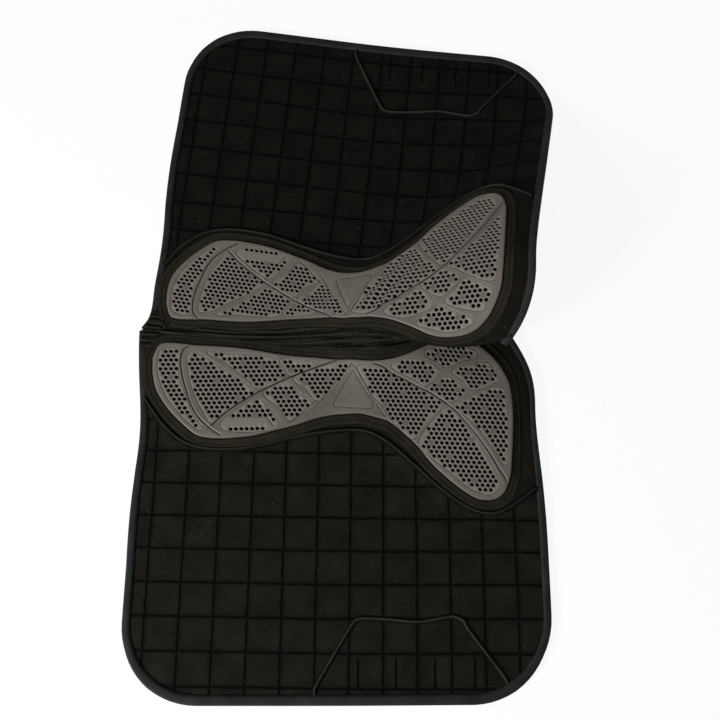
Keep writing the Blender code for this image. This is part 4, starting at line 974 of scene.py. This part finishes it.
print("hole fields:", len(FIELD_LINES), "grooves:", len(GROOVE_LINES))

# %% [markdown]
# Fine steps need edges to fall on. The outline, the ribs' edges and the grooves are given
# to the triangulation as rows of points beside them, and each hole as a ring. Then the
# relief lifts the points, the open holes are left out, and holes that the moulding has
# filled stay as shallow discs.

# %% Gel sheet
WALL_DROP, DISC_DROP = 0.45, 0.35
RING_POINTS, FILL_STEP, CLEAR_OF_HOLES = 12, 5.0, 4.2


def beside(lines, closed, *asides):
    """Copies of lines moved aside, as constraint rows for the triangulation."""
    return [(line + line_normals(line, closed) * aside, closed)
            for line in lines for aside in asides]


def gel_sheet():
    """The insert's triangulated plan: its points and its triangles."""
    ring = np.linspace(0, 2 * math.pi, RING_POINTS, endpoint=False)
    ring = np.stack([np.cos(ring), np.sin(ring)], 1)
    rows = beside([BORDER], True, 0, 0.6, 1.6, 3.0, 6.2)
    rows += beside(FIELD_LINES, True, 0.0, 0.5, 1.3, -0.5, -1.3)
    rows += beside(GROOVE_LINES, False, -4.8, -3.2, -1.7, -0.8, 0.0, 0.8, 1.7)
    rows += beside(WAIST_LINES, False, -1.2, -0.6, 0.0, 0.6, 1.2)
    fill_x, fill_y = np.meshgrid(np.arange(20, 600, FILL_STEP), np.arange(0, 275, FILL_STEP),
                                 indexing="ij")
    offset = FILL_STEP / 2 * (np.arange(fill_x.size) % 2)
    fill = np.stack([fill_x.ravel() + offset, fill_y.ravel()], 1)
    clear = within(fill, BORDER) & (to_line(fill, BORDER, True)[0] > 7.5)
    for centre in HOLES:
        clear &= np.hypot(*(fill - centre).T) > CLEAR_OF_HOLES
    points, links = [], []
    for line, closed in rows:
        keep = within(line, BORDER) | (to_line(line, BORDER, True)[0] < 0.02)
        first = len(points)
        points += line.tolist()
        count = len(line)
        links += [(first + k, first + (k + 1) % count) for k in range(count - 1 + closed)
                  if keep[k] and keep[(k + 1) % count]]
    for size in (HOLE_RADIUS, HOLE_RADIUS + HOLE_RIM):
        for centre in HOLES:
            first = len(points)
            points += (centre + ring * size).tolist()
            links += [(first + k, first + (k + 1) % RING_POINTS) for k in range(RING_POINTS)]
    points += fill[clear].tolist()
    return triangulated(points, links, BORDER, 0.02)


def nearest_hole(flat):
    """Each point's distance to the nearest hole's centre, and which hole that is."""
    best = np.full(len(flat), 99.0)
    which = np.zeros(len(flat), int)
    for number, centre in enumerate(HOLES):
        gap = np.hypot(*(flat - centre).T)
        closer = gap < best
        best[closer] = gap[closer]
        which[closer] = number
    return best, which


flat_gel, gel_faces = gel_sheet()
gel_shape = gel_height(flat_gel)
hole_gap, hole_which = nearest_hole(flat_gel)
on_wall = (hole_gap < HOLE_RADIUS + 0.1) & ~FAINT[hole_which]
on_disc = (hole_gap < HOLE_RADIUS + HOLE_RIM + 0.1) & FAINT[hole_which]
gel_lift = gel_shape - WALL_DROP * on_wall - DISC_DROP * on_disc
middle_gap, middle_which = nearest_hole(flat_gel[gel_faces].mean(1))
in_hole = (middle_gap < HOLE_RADIUS * 0.97) & ~FAINT[middle_which]
gel_faces = gel_faces[~in_hole]
print("gel sheet:", len(flat_gel), "points,", len(gel_faces), "triangles")

# %% [markdown]
# The gel's colour comes from its own satin skin: a warm grey thermoplastic rubber with a very fine
# spark-eroded texture, a little lighter in the hole fields, with painted shade in its low places,
# down its holes' walls and on the filled holes, and slightly glossier on the ribs that the saddle
# polishes.

# %% Gel material
def moulded_gel():
    """Warm grey moulded rubber, with painted shade where the attribute "low" is 1."""
    material, tree, shader = new_material("moulded_tpe_gel", "58534c", 0.52, 0.30)
    place = add(tree, "TexCoord").outputs["Object"]
    grain = noise(tree, place, 900.0, 2.0)
    cloud = noise(tree, place, 14.0, 4.0, 0.6)
    skin = mixed_colour(tree, spread(tree, cloud, 0.3, 0.7), linear("534e48"), linear("625d56"))
    skin = mixed_colour(tree, attribute(tree, "field"), skin, linear("67625b"))
    # painted shade: the colour darkens towards 26231e where the attribute "low" is 1
    skin = mixed_colour(tree, attribute(tree, "low"), skin, linear("26231e"))
    tree.links.new(spread(tree, cloud, 0.3, 0.7, 0.46, 0.60), shader.inputs["Roughness"])
    dressed(tree, shader, skin, grain, 0.25, 0.0004)
    return material


gel_rubber = moulded_gel()
print("gel material made")

# %% [markdown]
# On the real pad the insert is injection-moulded in one shot, holes and all. Here its
# triangulated plan becomes a closed body by one extrusion, still flat, and only then
# bends over the pad. The right insert sits a few millimetres nearer the spine, where the
# fold has pulled it.

# %% Gel inserts
GEL_BOTTOM = 0.0096
# painted shade on the gel: darker where the relief is below 4.7 mm, on filled holes and on the
# holes' walls
SHADED_UNDER, SHADED_OVER = 4.7, 0.8
DISC_SHADE, WALL_SHADE = 0.45, 0.3
SLIP_FROM_V, SLIP_OVER = 0.030, 0.150
NEAR_SLIP = (0.10, 0.24, 0.34, 0.45, 0.55), (0, 0.002, 0.006, 0.0035, 0.002)
FAR_SLIP = (0.10, 0.34, 0.45, 0.55), (0.0050, 0.0068, 0.0035, 0.002)


def pulled_in(side, flat):
    """The right insert's and band's slip towards the spine; the left ones lie true."""
    flat = np.array(flat, float)
    if side == "right":
        near, far = (np.interp(flat[:, 0], *slip) for slip in (NEAR_SLIP, FAR_SLIP))
        flat[:, 1] -= near + (far - near) * ramp(flat[:, 1], SLIP_FROM_V, SLIP_OVER)
    return flat


in_field = np.zeros(len(flat_gel), bool)
for field in FIELD_LINES:
    in_field |= within(flat_gel, field) & (to_line(flat_gel, field, True)[0] > 1.0)


def gel_insert(side):
    """One moulded insert, closed, with its painted shade written for the material."""
    bm = bmesh.new()
    depth = bm.verts.layers.float.new("low")
    pierced = bm.verts.layers.float.new("field")
    used = sorted(set(gel_faces.ravel().tolist()))
    spots = {k: bm.verts.new((*flat_gel[k], gel_lift[k])) for k in used}
    for a, b, c in gel_faces:
        bm.faces.new((spots[a], spots[b], spots[c]))
    # painted shade: hollows of the relief, filled holes and hole walls are darkened
    painted_hollow_shade = np.clip((SHADED_UNDER - gel_shape) / SHADED_OVER, 0, 1)
    painted_hollow_shade += DISC_SHADE * on_disc + WALL_SHADE * on_wall
    for k in used:
        spots[k][depth] = float(painted_hollow_shade[k])
        spots[k][pierced] = float(in_field[k])
    top = set(bm.verts)
    bmesh.ops.extrude_face_region(bm, geom=list(bm.faces), use_keep_orig=True)
    for v in bm.verts:
        if v not in top:
            v.co.z = 0
            # painted shade: the underside is fully dark, so the holes' walls darken towards it
            v[depth] = 1.0
    bmesh.ops.scale(bm, verts=bm.verts, vec=(0.001, 0.001, 0.001))
    bmesh.ops.translate(bm, verts=bm.verts, vec=(0, 0, GEL_BOTTOM))
    mesh = new_mesh(f"gel_insert_moulded_{side}", bm)
    set_points(mesh, lay(side, pulled_in(side, points_of(mesh))))
    piece = finish_piece(mesh, [gel_rubber], weld=1e-7, sharp=50)
    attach(piece, f"{side}_half")
    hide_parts(f"gel_insert_{side}")
    print(piece.name, len(piece.data.polygons), "faces")


for side in SIDES:
    gel_insert(side)

# %% [markdown]
# Round each insert runs a 15 mm cotton twill band that holds the gel's flange, then a
# line of corded piping where the band's cloth meets the quilting. A corded line of
# the same make marks the girth patch, and a ribbed grosgrain binding folds over the
# pad's open edge. Every one of these is a woven cloth that differs from the others in
# its rib, its shine and its colour, so one function makes them all.

# %% Trim materials
def woven(name, hex_colour, along_mm, across_mm, roughness, specular, diagonal=True):
    """A tape's cloth: ribs of a real spacing, read from the sweep's own UV in metres, with painted
    shade where the attribute "low" is 1.
    """
    material, tree, shader = new_material(name, hex_colour, roughness, specular)
    uv = add(tree, "UVMap", uv_map="cloth").outputs[0]
    turned = add(tree, "Mapping", {"Vector": uv, "Scale": (1000 / along_mm, 1000 / across_mm, 1),
                                   "Rotation": (0, 0, math.radians(38) if diagonal else 0)})
    ribs = add(tree, "TexWave", {"Vector": turned.outputs[0], "Scale": 0.16, "Distortion": 0.5,
                                 "Detail": 1.0}, bands_direction="X").outputs["Fac"]
    fibre = noise(tree, uv, 700.0, 3.0)
    cloud = noise(tree, uv, 30.0, 3.0)
    tone = spread(tree, maths(tree, "MULTIPLY", fibre, cloud), 0.12, 0.40)
    shade = mixed_colour(tree, tone, linear(hex_colour, 0.55), linear(hex_colour, 1.45))
    # painted shade: where the attribute "low" is 1 the cloth darkens to an eighth of its colour
    shade = mixed_colour(tree, attribute(tree, "low"), shade, linear(hex_colour, 0.12))
    dressed(tree, shader, shade, maths(tree, "ADD", ribs, fibre), 0.6, 0.0005)
    return material


twill_band = woven("brushed_twill_band", "1f1c15", 2.0, 2.0, 0.9, 0.12)
piping_cloth = woven("corded_cotton_piping", "1a1914", 1.6, 1.6, 0.9, 0.15)
patch_cord = woven("corded_patch_piping", "24221c", 1.6, 1.6, 0.9, 0.15)
# painted shade: the flange's near-black colour stands for the shade beside the cord
flange_painted_shade = woven("sewn_down_flange_painted_shade", "0c0b09", 1.6, 1.6, 0.95, 0.05)
grosgrain = woven("polyester_grosgrain_binding", "1d1e1e", 1.5, 40.0, 0.66, 0.12, diagonal=False)
webbing = woven("polyester_webbing", "232323", 2.0, 3.0, 0.7, 0.2, diagonal=False)
creased_cloth = woven("gathered_cotton_channel", "1d1c17", 1.8, 1.8, 0.92, 0.10)
thread = woven("waxed_polyester_thread", "050504", 2.5, 2.0, 0.95, 0.02)
print("trim materials made")

# %% [markdown]
# The band is a strip of brushed cotton twill, folded under along both edges and sewn
# over the gel's flange. Its section has six fine ridges and one deeper stitched valley.
# It is swept round the whole insert, and it grows narrower where the spine's channel
# leaves no room.

# %% Gel band
SPINE_GAP = 0.0045
BAND_WIDTH, MOST_TRIMMED, BAND_TOP = 0.015, 0.0125, 0.0104
RIDGES, RIDGE_HEIGHT, BAND_SLOPE = 6, 0.00038, 0.0010
VALLEY_AT, VALLEY_DEPTH, VALLEY_REACH = 0.56, 0.0014, 0.035
BAND_LINE = gel_border(4.0) / 1000


def band_profile(line):
    """The band's section at each point: narrower where it meets the spine's seam."""
    outer = line - line_normals(line, True) * BAND_WIDTH
    short = seam_v(outer[:, 0]) + SPINE_GAP - outer[:, 1]
    over = np.linspace(0.06, 0.97, 26)
    crown = BAND_TOP + BAND_SLOPE * (1 - over)
    crown -= VALLEY_DEPTH * bell(over - VALLEY_AT, VALLEY_REACH)
    crown += RIDGE_HEIGHT * np.cos(over * RIDGES * 2 * math.pi)
    return [[(-0.0009, 0.0090), (-0.0010, 0.0100)] + list(zip(-w * over, crown))
            + [(-w, 0.0095), (-w, 0.0088)] for w in BAND_WIDTH - np.clip(short, 0, MOST_TRIMMED)]


for side in SIDES:
    band = ribbon(f"gel_band_cloth_{side}", side, pulled_in(side, BAND_LINE), band_profile,
                  twill_band, closed=True)
    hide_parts(f"gel_band_{side}")
print("bands round the gel:", round(len(BAND_LINE) * 0.004, 2), "m each")

# %% [markdown]
# Piping is a cord wrapped in a bias strip whose flange is caught in a seam. The gel's band ends in
# such a cord, and a second one draws the girth patch's line through to this side. A cord is a
# round section swept along its line at the height of the pad there, over a flat flange coloured
# near-black as painted shade.

# %% Corded piping
SEWN_DOWN, CORD_LIFT, CORD_TALL, ON_CLOTH = -0.0006, 0.0003, 1.25, 0.0006


def cord_section(radius):
    """A round cord sewn down along its line."""
    turn = np.linspace(0, math.pi, 9)
    arch = [(math.cos(a) * radius, CORD_LIFT + CORD_TALL * math.sin(a) * radius) for a in turn]
    return [(radius, SEWN_DOWN)] + arch + [(-radius, SEWN_DOWN)]


def flange_section(half):
    """The piping's flat flange, coloured near-black as painted shade beside its cord."""
    return [(half, -0.0008), (half, 0), (half * 0.5, 0.0002),
            (-half * 0.5, 0.0002), (-half, 0), (-half, -0.0008)]


def on_pad(section, lift):
    """A section that follows the pad's own thickness along its line."""
    def profile(line):
        base = pad_thickness(np.column_stack([line, np.zeros(len(line))])) + lift
        rows = np.repeat(np.array(section, float)[None], len(line), 0)
        rows[:, :, 1] += base[:, None]
        return rows
    return profile


def piping(name, side, line, radius, half, cloth):
    """A flat flange and the cord sewn along it."""
    flange = ribbon(f"{name}_flange_{side}", side, line,
                    on_pad(flange_section(half), ON_CLOTH), flange_painted_shade)
    cord = ribbon(f"{name}_cord_1_{side}", side, line,
                  on_pad(cord_section(radius), ON_CLOTH), cloth)
    return flange


for side in SIDES:
    flange = piping("gel_piping", side, GEL_PIPING, 0.0019, 0.0050, piping_cloth)
    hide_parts(f"gel_piping_{side}")
    flange = piping("patch_piping", side, PATCH_LINE, 0.0018, 0.0040, patch_cord)
    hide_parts(f"patch_piping_{side}")
print("piping made")

# %% [markdown]
# The open edge is bound with a ribbed grosgrain tape, folded round it and sewn through
# all layers in one row. Its section is a U that hugs the pad's edge. At the front the
# tape runs on a little past the seam as a loose end, longer on the right half.

# %% Edge binding
BINDING_SECTION = [(0.0120, 0.0004), (0.0030, 0.0003), (0.0008, 0.0009), (0.0, 0.0026),
                   (0.0, 0.0056), (0.0008, 0.0074), (0.0030, 0.0081), (0.0075, 0.0081),
                   (0.0120, 0.0076), (0.0120, 0.0068), (0.0030, 0.0071), (0.0016, 0.0058),
                   (0.0016, 0.0026), (0.0030, 0.0013), (0.0120, 0.0012)]
WIDER_FROM, WIDER_OVER, WIDER_BY, MOVED_OUT = 0.500, 0.050, 0.25, 0.003
TAIL_LENGTH = {"left": 0.012, "right": 0.022}


def binding_section(line):
    """The tape's section, folded a little wider along the pad's far side."""
    rows = np.repeat(np.array(BINDING_SECTION)[None], len(line), 0)
    wider = ramp(line[:, 1], WIDER_FROM, WIDER_OVER)[:, None]
    rows[:, :, 0] = rows[:, :, 0] * (1 + WIDER_BY * wider) - MOVED_OUT * wider
    return rows


def binding_line(side):
    """The bound edge with a tail past its front end; the left one also overlaps the rear."""
    ahead = (EDGE[0] - EDGE[1]) / np.linalg.norm(EDGE[0] - EDGE[1])
    tail = EDGE[0] + ahead * np.arange(TAIL_LENGTH[side], 0.002, -0.004)[:, None]
    if side == "right":
        return np.vstack([tail, EDGE])
    behind = (EDGE[-1] - EDGE[-2]) / np.linalg.norm(EDGE[-1] - EDGE[-2])
    return np.vstack([tail, EDGE, EDGE[-1] + behind * 0.003, EDGE[-1] + behind * 0.006])


for side in SIDES:
    binding = ribbon(f"edge_binding_tape_{side}", side, binding_line(side), binding_section,
                     grosgrain)
    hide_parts(f"edge_binding_{side}")
print("edge binding made")

# %% [markdown]
# Along the spine the two halves meet in a soft channel, which bends when the pad is
# folded, so one skin blends from the left half to the right. The seam curves away from
# the straight hinge line towards the front, and the right half stands higher there, so
# the blend runs along a direction tilted up across the seam, which has the left edge on
# one side and the right edge on the other all the way.

# %% Across the spine
HINGE_AXIS = np.array((0.994622, -0.049731, 0.090855))
SWING = np.cross((0, 0, 1), HINGE_AXIS)
SWING /= np.linalg.norm(SWING)
BAND_INNER, WIDEST_CHANNEL, SKIN_LIFT = 0.0155, 0.030, 0.0006


def channel_reach(side, u):
    """How far the channel's skin runs from the seam before the gel's band."""
    spine_side = pulled_in(side, BAND_LINE[BAND_LINE[:, 1] < 0.060])
    spine_side = spine_side[np.argsort(spine_side[:, 0])]
    gel = np.interp(u, spine_side[:, 0], spine_side[:, 1])
    reach = np.clip(gel - BAND_INNER - seam_v(u), SPINE_GAP, WIDEST_CHANNEL)
    return SPINE_GAP + (reach - SPINE_GAP) * (1 - front_end(u))


def front_end(u):
    """0 along the channel, 1 where it has run out into the plain cloth at the front."""
    return ease((u - 0.515) / 0.050)


def across_spine(name, u, sections, material):
    """A skin over both halves from sections of (across, height, and a shade if any)."""
    ring = sections.shape[1]
    mesh = blank_grid(name, ring, len(u) - 1)
    places = np.zeros((len(u), ring + 1, 3))
    turning = 0.8 * np.maximum(channel_reach("left", u), channel_reach("right", u))
    for k in range(ring):
        across, height = sections[:, k, 0], sections[:, k, 1]
        flat = np.stack([u, seam_v(u) + np.abs(across), height], 1)
        both = lay("left", flat), lay("right", flat)
        t = ease((across / turning + 1) / 2)[:, None]
        places[:, k] = both[0] * (1 - t) + both[1] * t
    places[:, ring] = places[:, 0]
    set_points(mesh, places.reshape(-1, 3))
    run = np.repeat(u, ring + 1)
    wide = np.concatenate([sections[:, :, 0], sections[:, :1, 0]], 1).ravel()
    write_uv(mesh, np.stack([run, wide], 1))
    if sections.shape[2] == 3:
        write_value(mesh, "low", np.concatenate([sections[:, :, 2], sections[:, :1, 2]], 1))
    piece = finish_piece(mesh, [material])
    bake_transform(piece)
    return piece


# %% [markdown]
# The channel's cloth is gathered into long creases that wander along the spine. Two waves across
# it give their height, and the attribute "low" paints shade into their valleys and into the hollow
# under the tent. Towards the front it flattens and runs out into the plain cloth. Outside, a
# webbing tape covers the same seam.

# %% Spine channel and tape
WIDE_CREASE, FINE_CREASE, CREASE_SHADED, TENT_SHADE = 0.0016, 0.0010, 0.0010, 0.45


def closed_section(upper, lower):
    """Sections that go across on their upper side and back on their lower side."""
    return np.concatenate([upper, lower[:, ::-1]], 1)


def wandering(across, u, spacing, swing, pace):
    """The phase of evenly spaced creases that wander along the channel."""
    return across / spacing * 2 * math.pi + swing * np.sin(u * pace)[:, None]


run_u = np.linspace(0.003, 0.594, 150)
half = np.linspace(-1, 1, 49)
across = np.where(half < 0, *(channel_reach(side, run_u)[:, None] for side in SIDES)) * half
crease = WIDE_CREASE * np.cos(wandering(across, run_u, 0.0078, 2.4, 13))
crease += FINE_CREASE * np.sin(wandering(across, run_u, 0.0043, 11, 9))
crease *= 1 - 0.85 * front_end(run_u)[:, None]
inner = 1 - ease((np.abs(half) - 0.86) / 0.14)
# painted shade: darker in the creases' valleys and in the hollow under the tent at the channel's
# middle
shade = TENT_SHADE * bell(run_u - 0.370, 0.080)[:, None] - crease / CREASE_SHADED
shade = np.clip(shade, 0, 1) * inner
upper = np.stack([across, GEL_SEAT + 0.0008 + (SKIN_LIFT + crease) * inner, shade], 2)
lower = np.stack([across, np.full_like(across, GEL_SEAT - SKIN_LIFT), np.zeros_like(shade)], 2)
skin = across_spine("spine_channel_cloth", run_u, closed_section(upper, lower), creased_cloth)
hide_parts("spine_strip_left", "spine_strip_right")

tape_u = np.linspace(0.026, 0.572, 110)
wide = np.repeat(np.linspace(-0.012, 0.012, 41)[None], len(tape_u), 0)
top, under = (np.stack([wide, np.full_like(wide, at)], 2) for at in (0.0013, 0.0004))
outer = across_spine("spine_tape_webbing", tape_u, closed_section(top, under), webbing)
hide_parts("spine_tape")
print("spine channel and tape made")

# %% [markdown]
# Outside, out of the photograph's sight, a smooth patch stiffens the place under the
# girth. It is one layer of the outer cloth, its plan filled with small triangles so
# that it can bend with the drape, and extruded to its own thickness.

# %% Girth patch
PATCH_LOW, PATCH_TOP, PATCH_STEP = 0.0013, 0.0024, 0.006


def patch_plan():
    """The patch's outline filled with small triangles."""
    edge = respaced(PATCH_SHAPE, PATCH_STEP, closed=True)
    spots = np.meshgrid(*(np.arange(edge[:, k].min(), edge[:, k].max(), PATCH_STEP)
                          for k in (0, 1)))
    fill = np.stack([spots[0].ravel(), spots[1].ravel()], 1)
    fill = fill[within(fill, edge) & (to_line(fill, edge, True)[0] > PATCH_STEP * 0.6)]
    links = [(k, (k + 1) % len(edge)) for k in range(len(edge))]
    return triangulated(np.vstack([edge, fill]), links, edge, 1e-6)


def girth_patch(side):
    """The patch's thin closed body, laid under one half."""
    flat, faces = patch_plan()
    bm = bmesh.new()
    spots = [bm.verts.new((*p, PATCH_LOW)) for p in flat]
    for face in faces:
        bm.faces.new([spots[k] for k in face])
    made = bmesh.ops.extrude_face_region(bm, geom=list(bm.faces), use_keep_orig=True)
    raised = [item for item in made["geom"] if isinstance(item, bmesh.types.BMVert)]
    bmesh.ops.translate(bm, verts=raised, vec=(0, 0, PATCH_TOP - PATCH_LOW))
    mesh = new_mesh(f"girth_patch_cloth_{side}", bm)
    flat = points_of(mesh)
    write_uv(mesh, flat[:, :2] / SQUARE)
    set_points(mesh, lay(side, flat))
    piece = finish_piece(mesh, [outer_cloth])
    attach(piece, f"{side}_half")
    print(piece.name, len(piece.data.polygons), "faces")
    return piece


for side in SIDES:
    patch = girth_patch(side)
    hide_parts(f"girth_patch_{side}")

# %% [markdown]
# A webbing keeper, sewn down in four rows, takes the girth straps. The rows go through
# to the lining, where each one shows as a dark thread lying in its furrow.

# %% Keeper and its stitches
KEEPER_MIDDLE, KEEPER_HALF = (KEEPER_FROM_V + KEEPER_TO_V) / 2, (KEEPER_TO_V - KEEPER_FROM_V) / 2
KEEPER_LINE = np.stack([np.arange(0.344, 0.5265, 0.0015), np.full(122, KEEPER_MIDDLE)], 1)


def keeper_section(line):
    """The strap's section: drawn in towards the pad at its four sewn rows."""
    sewn = bell(np.abs(line[:, :1] - KEEPER_ROWS).min(1), 0.0022)
    across = KEEPER_HALF * np.array([1, 1, 0.5, 0, -0.5, -1, -1, -0.5, 0, 0.5])
    low, top = 0.0003 + 0.0003 * sewn, 0.0012 + 0.0002 * sewn
    return [list(zip(across, [t] + [b] * 5 + [t] * 4)) for b, t in zip(low, top)]


def stitch_row(side, number, at):
    """One sewn row, seen on the lining as a thread lying in its furrow."""
    out = np.linspace(KEEPER_FROM_V + 0.001, KEEPER_TO_V - 0.001, 16)
    row = ribbon(f"keeper_stitches_{number}_{side}", side, np.stack([np.full(16, at), out], 1),
                 on_pad(cord_section(0.0006), 0.0004), thread)


for side in SIDES:
    keeper = ribbon(f"girth_keeper_webbing_{side}", side, KEEPER_LINE, keeper_section, webbing)
    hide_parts(f"girth_keeper_{side}")
    for number, at in enumerate(KEEPER_ROWS):
        stitch_row(side, number + 1, float(at))
print("keepers and their stitches made")
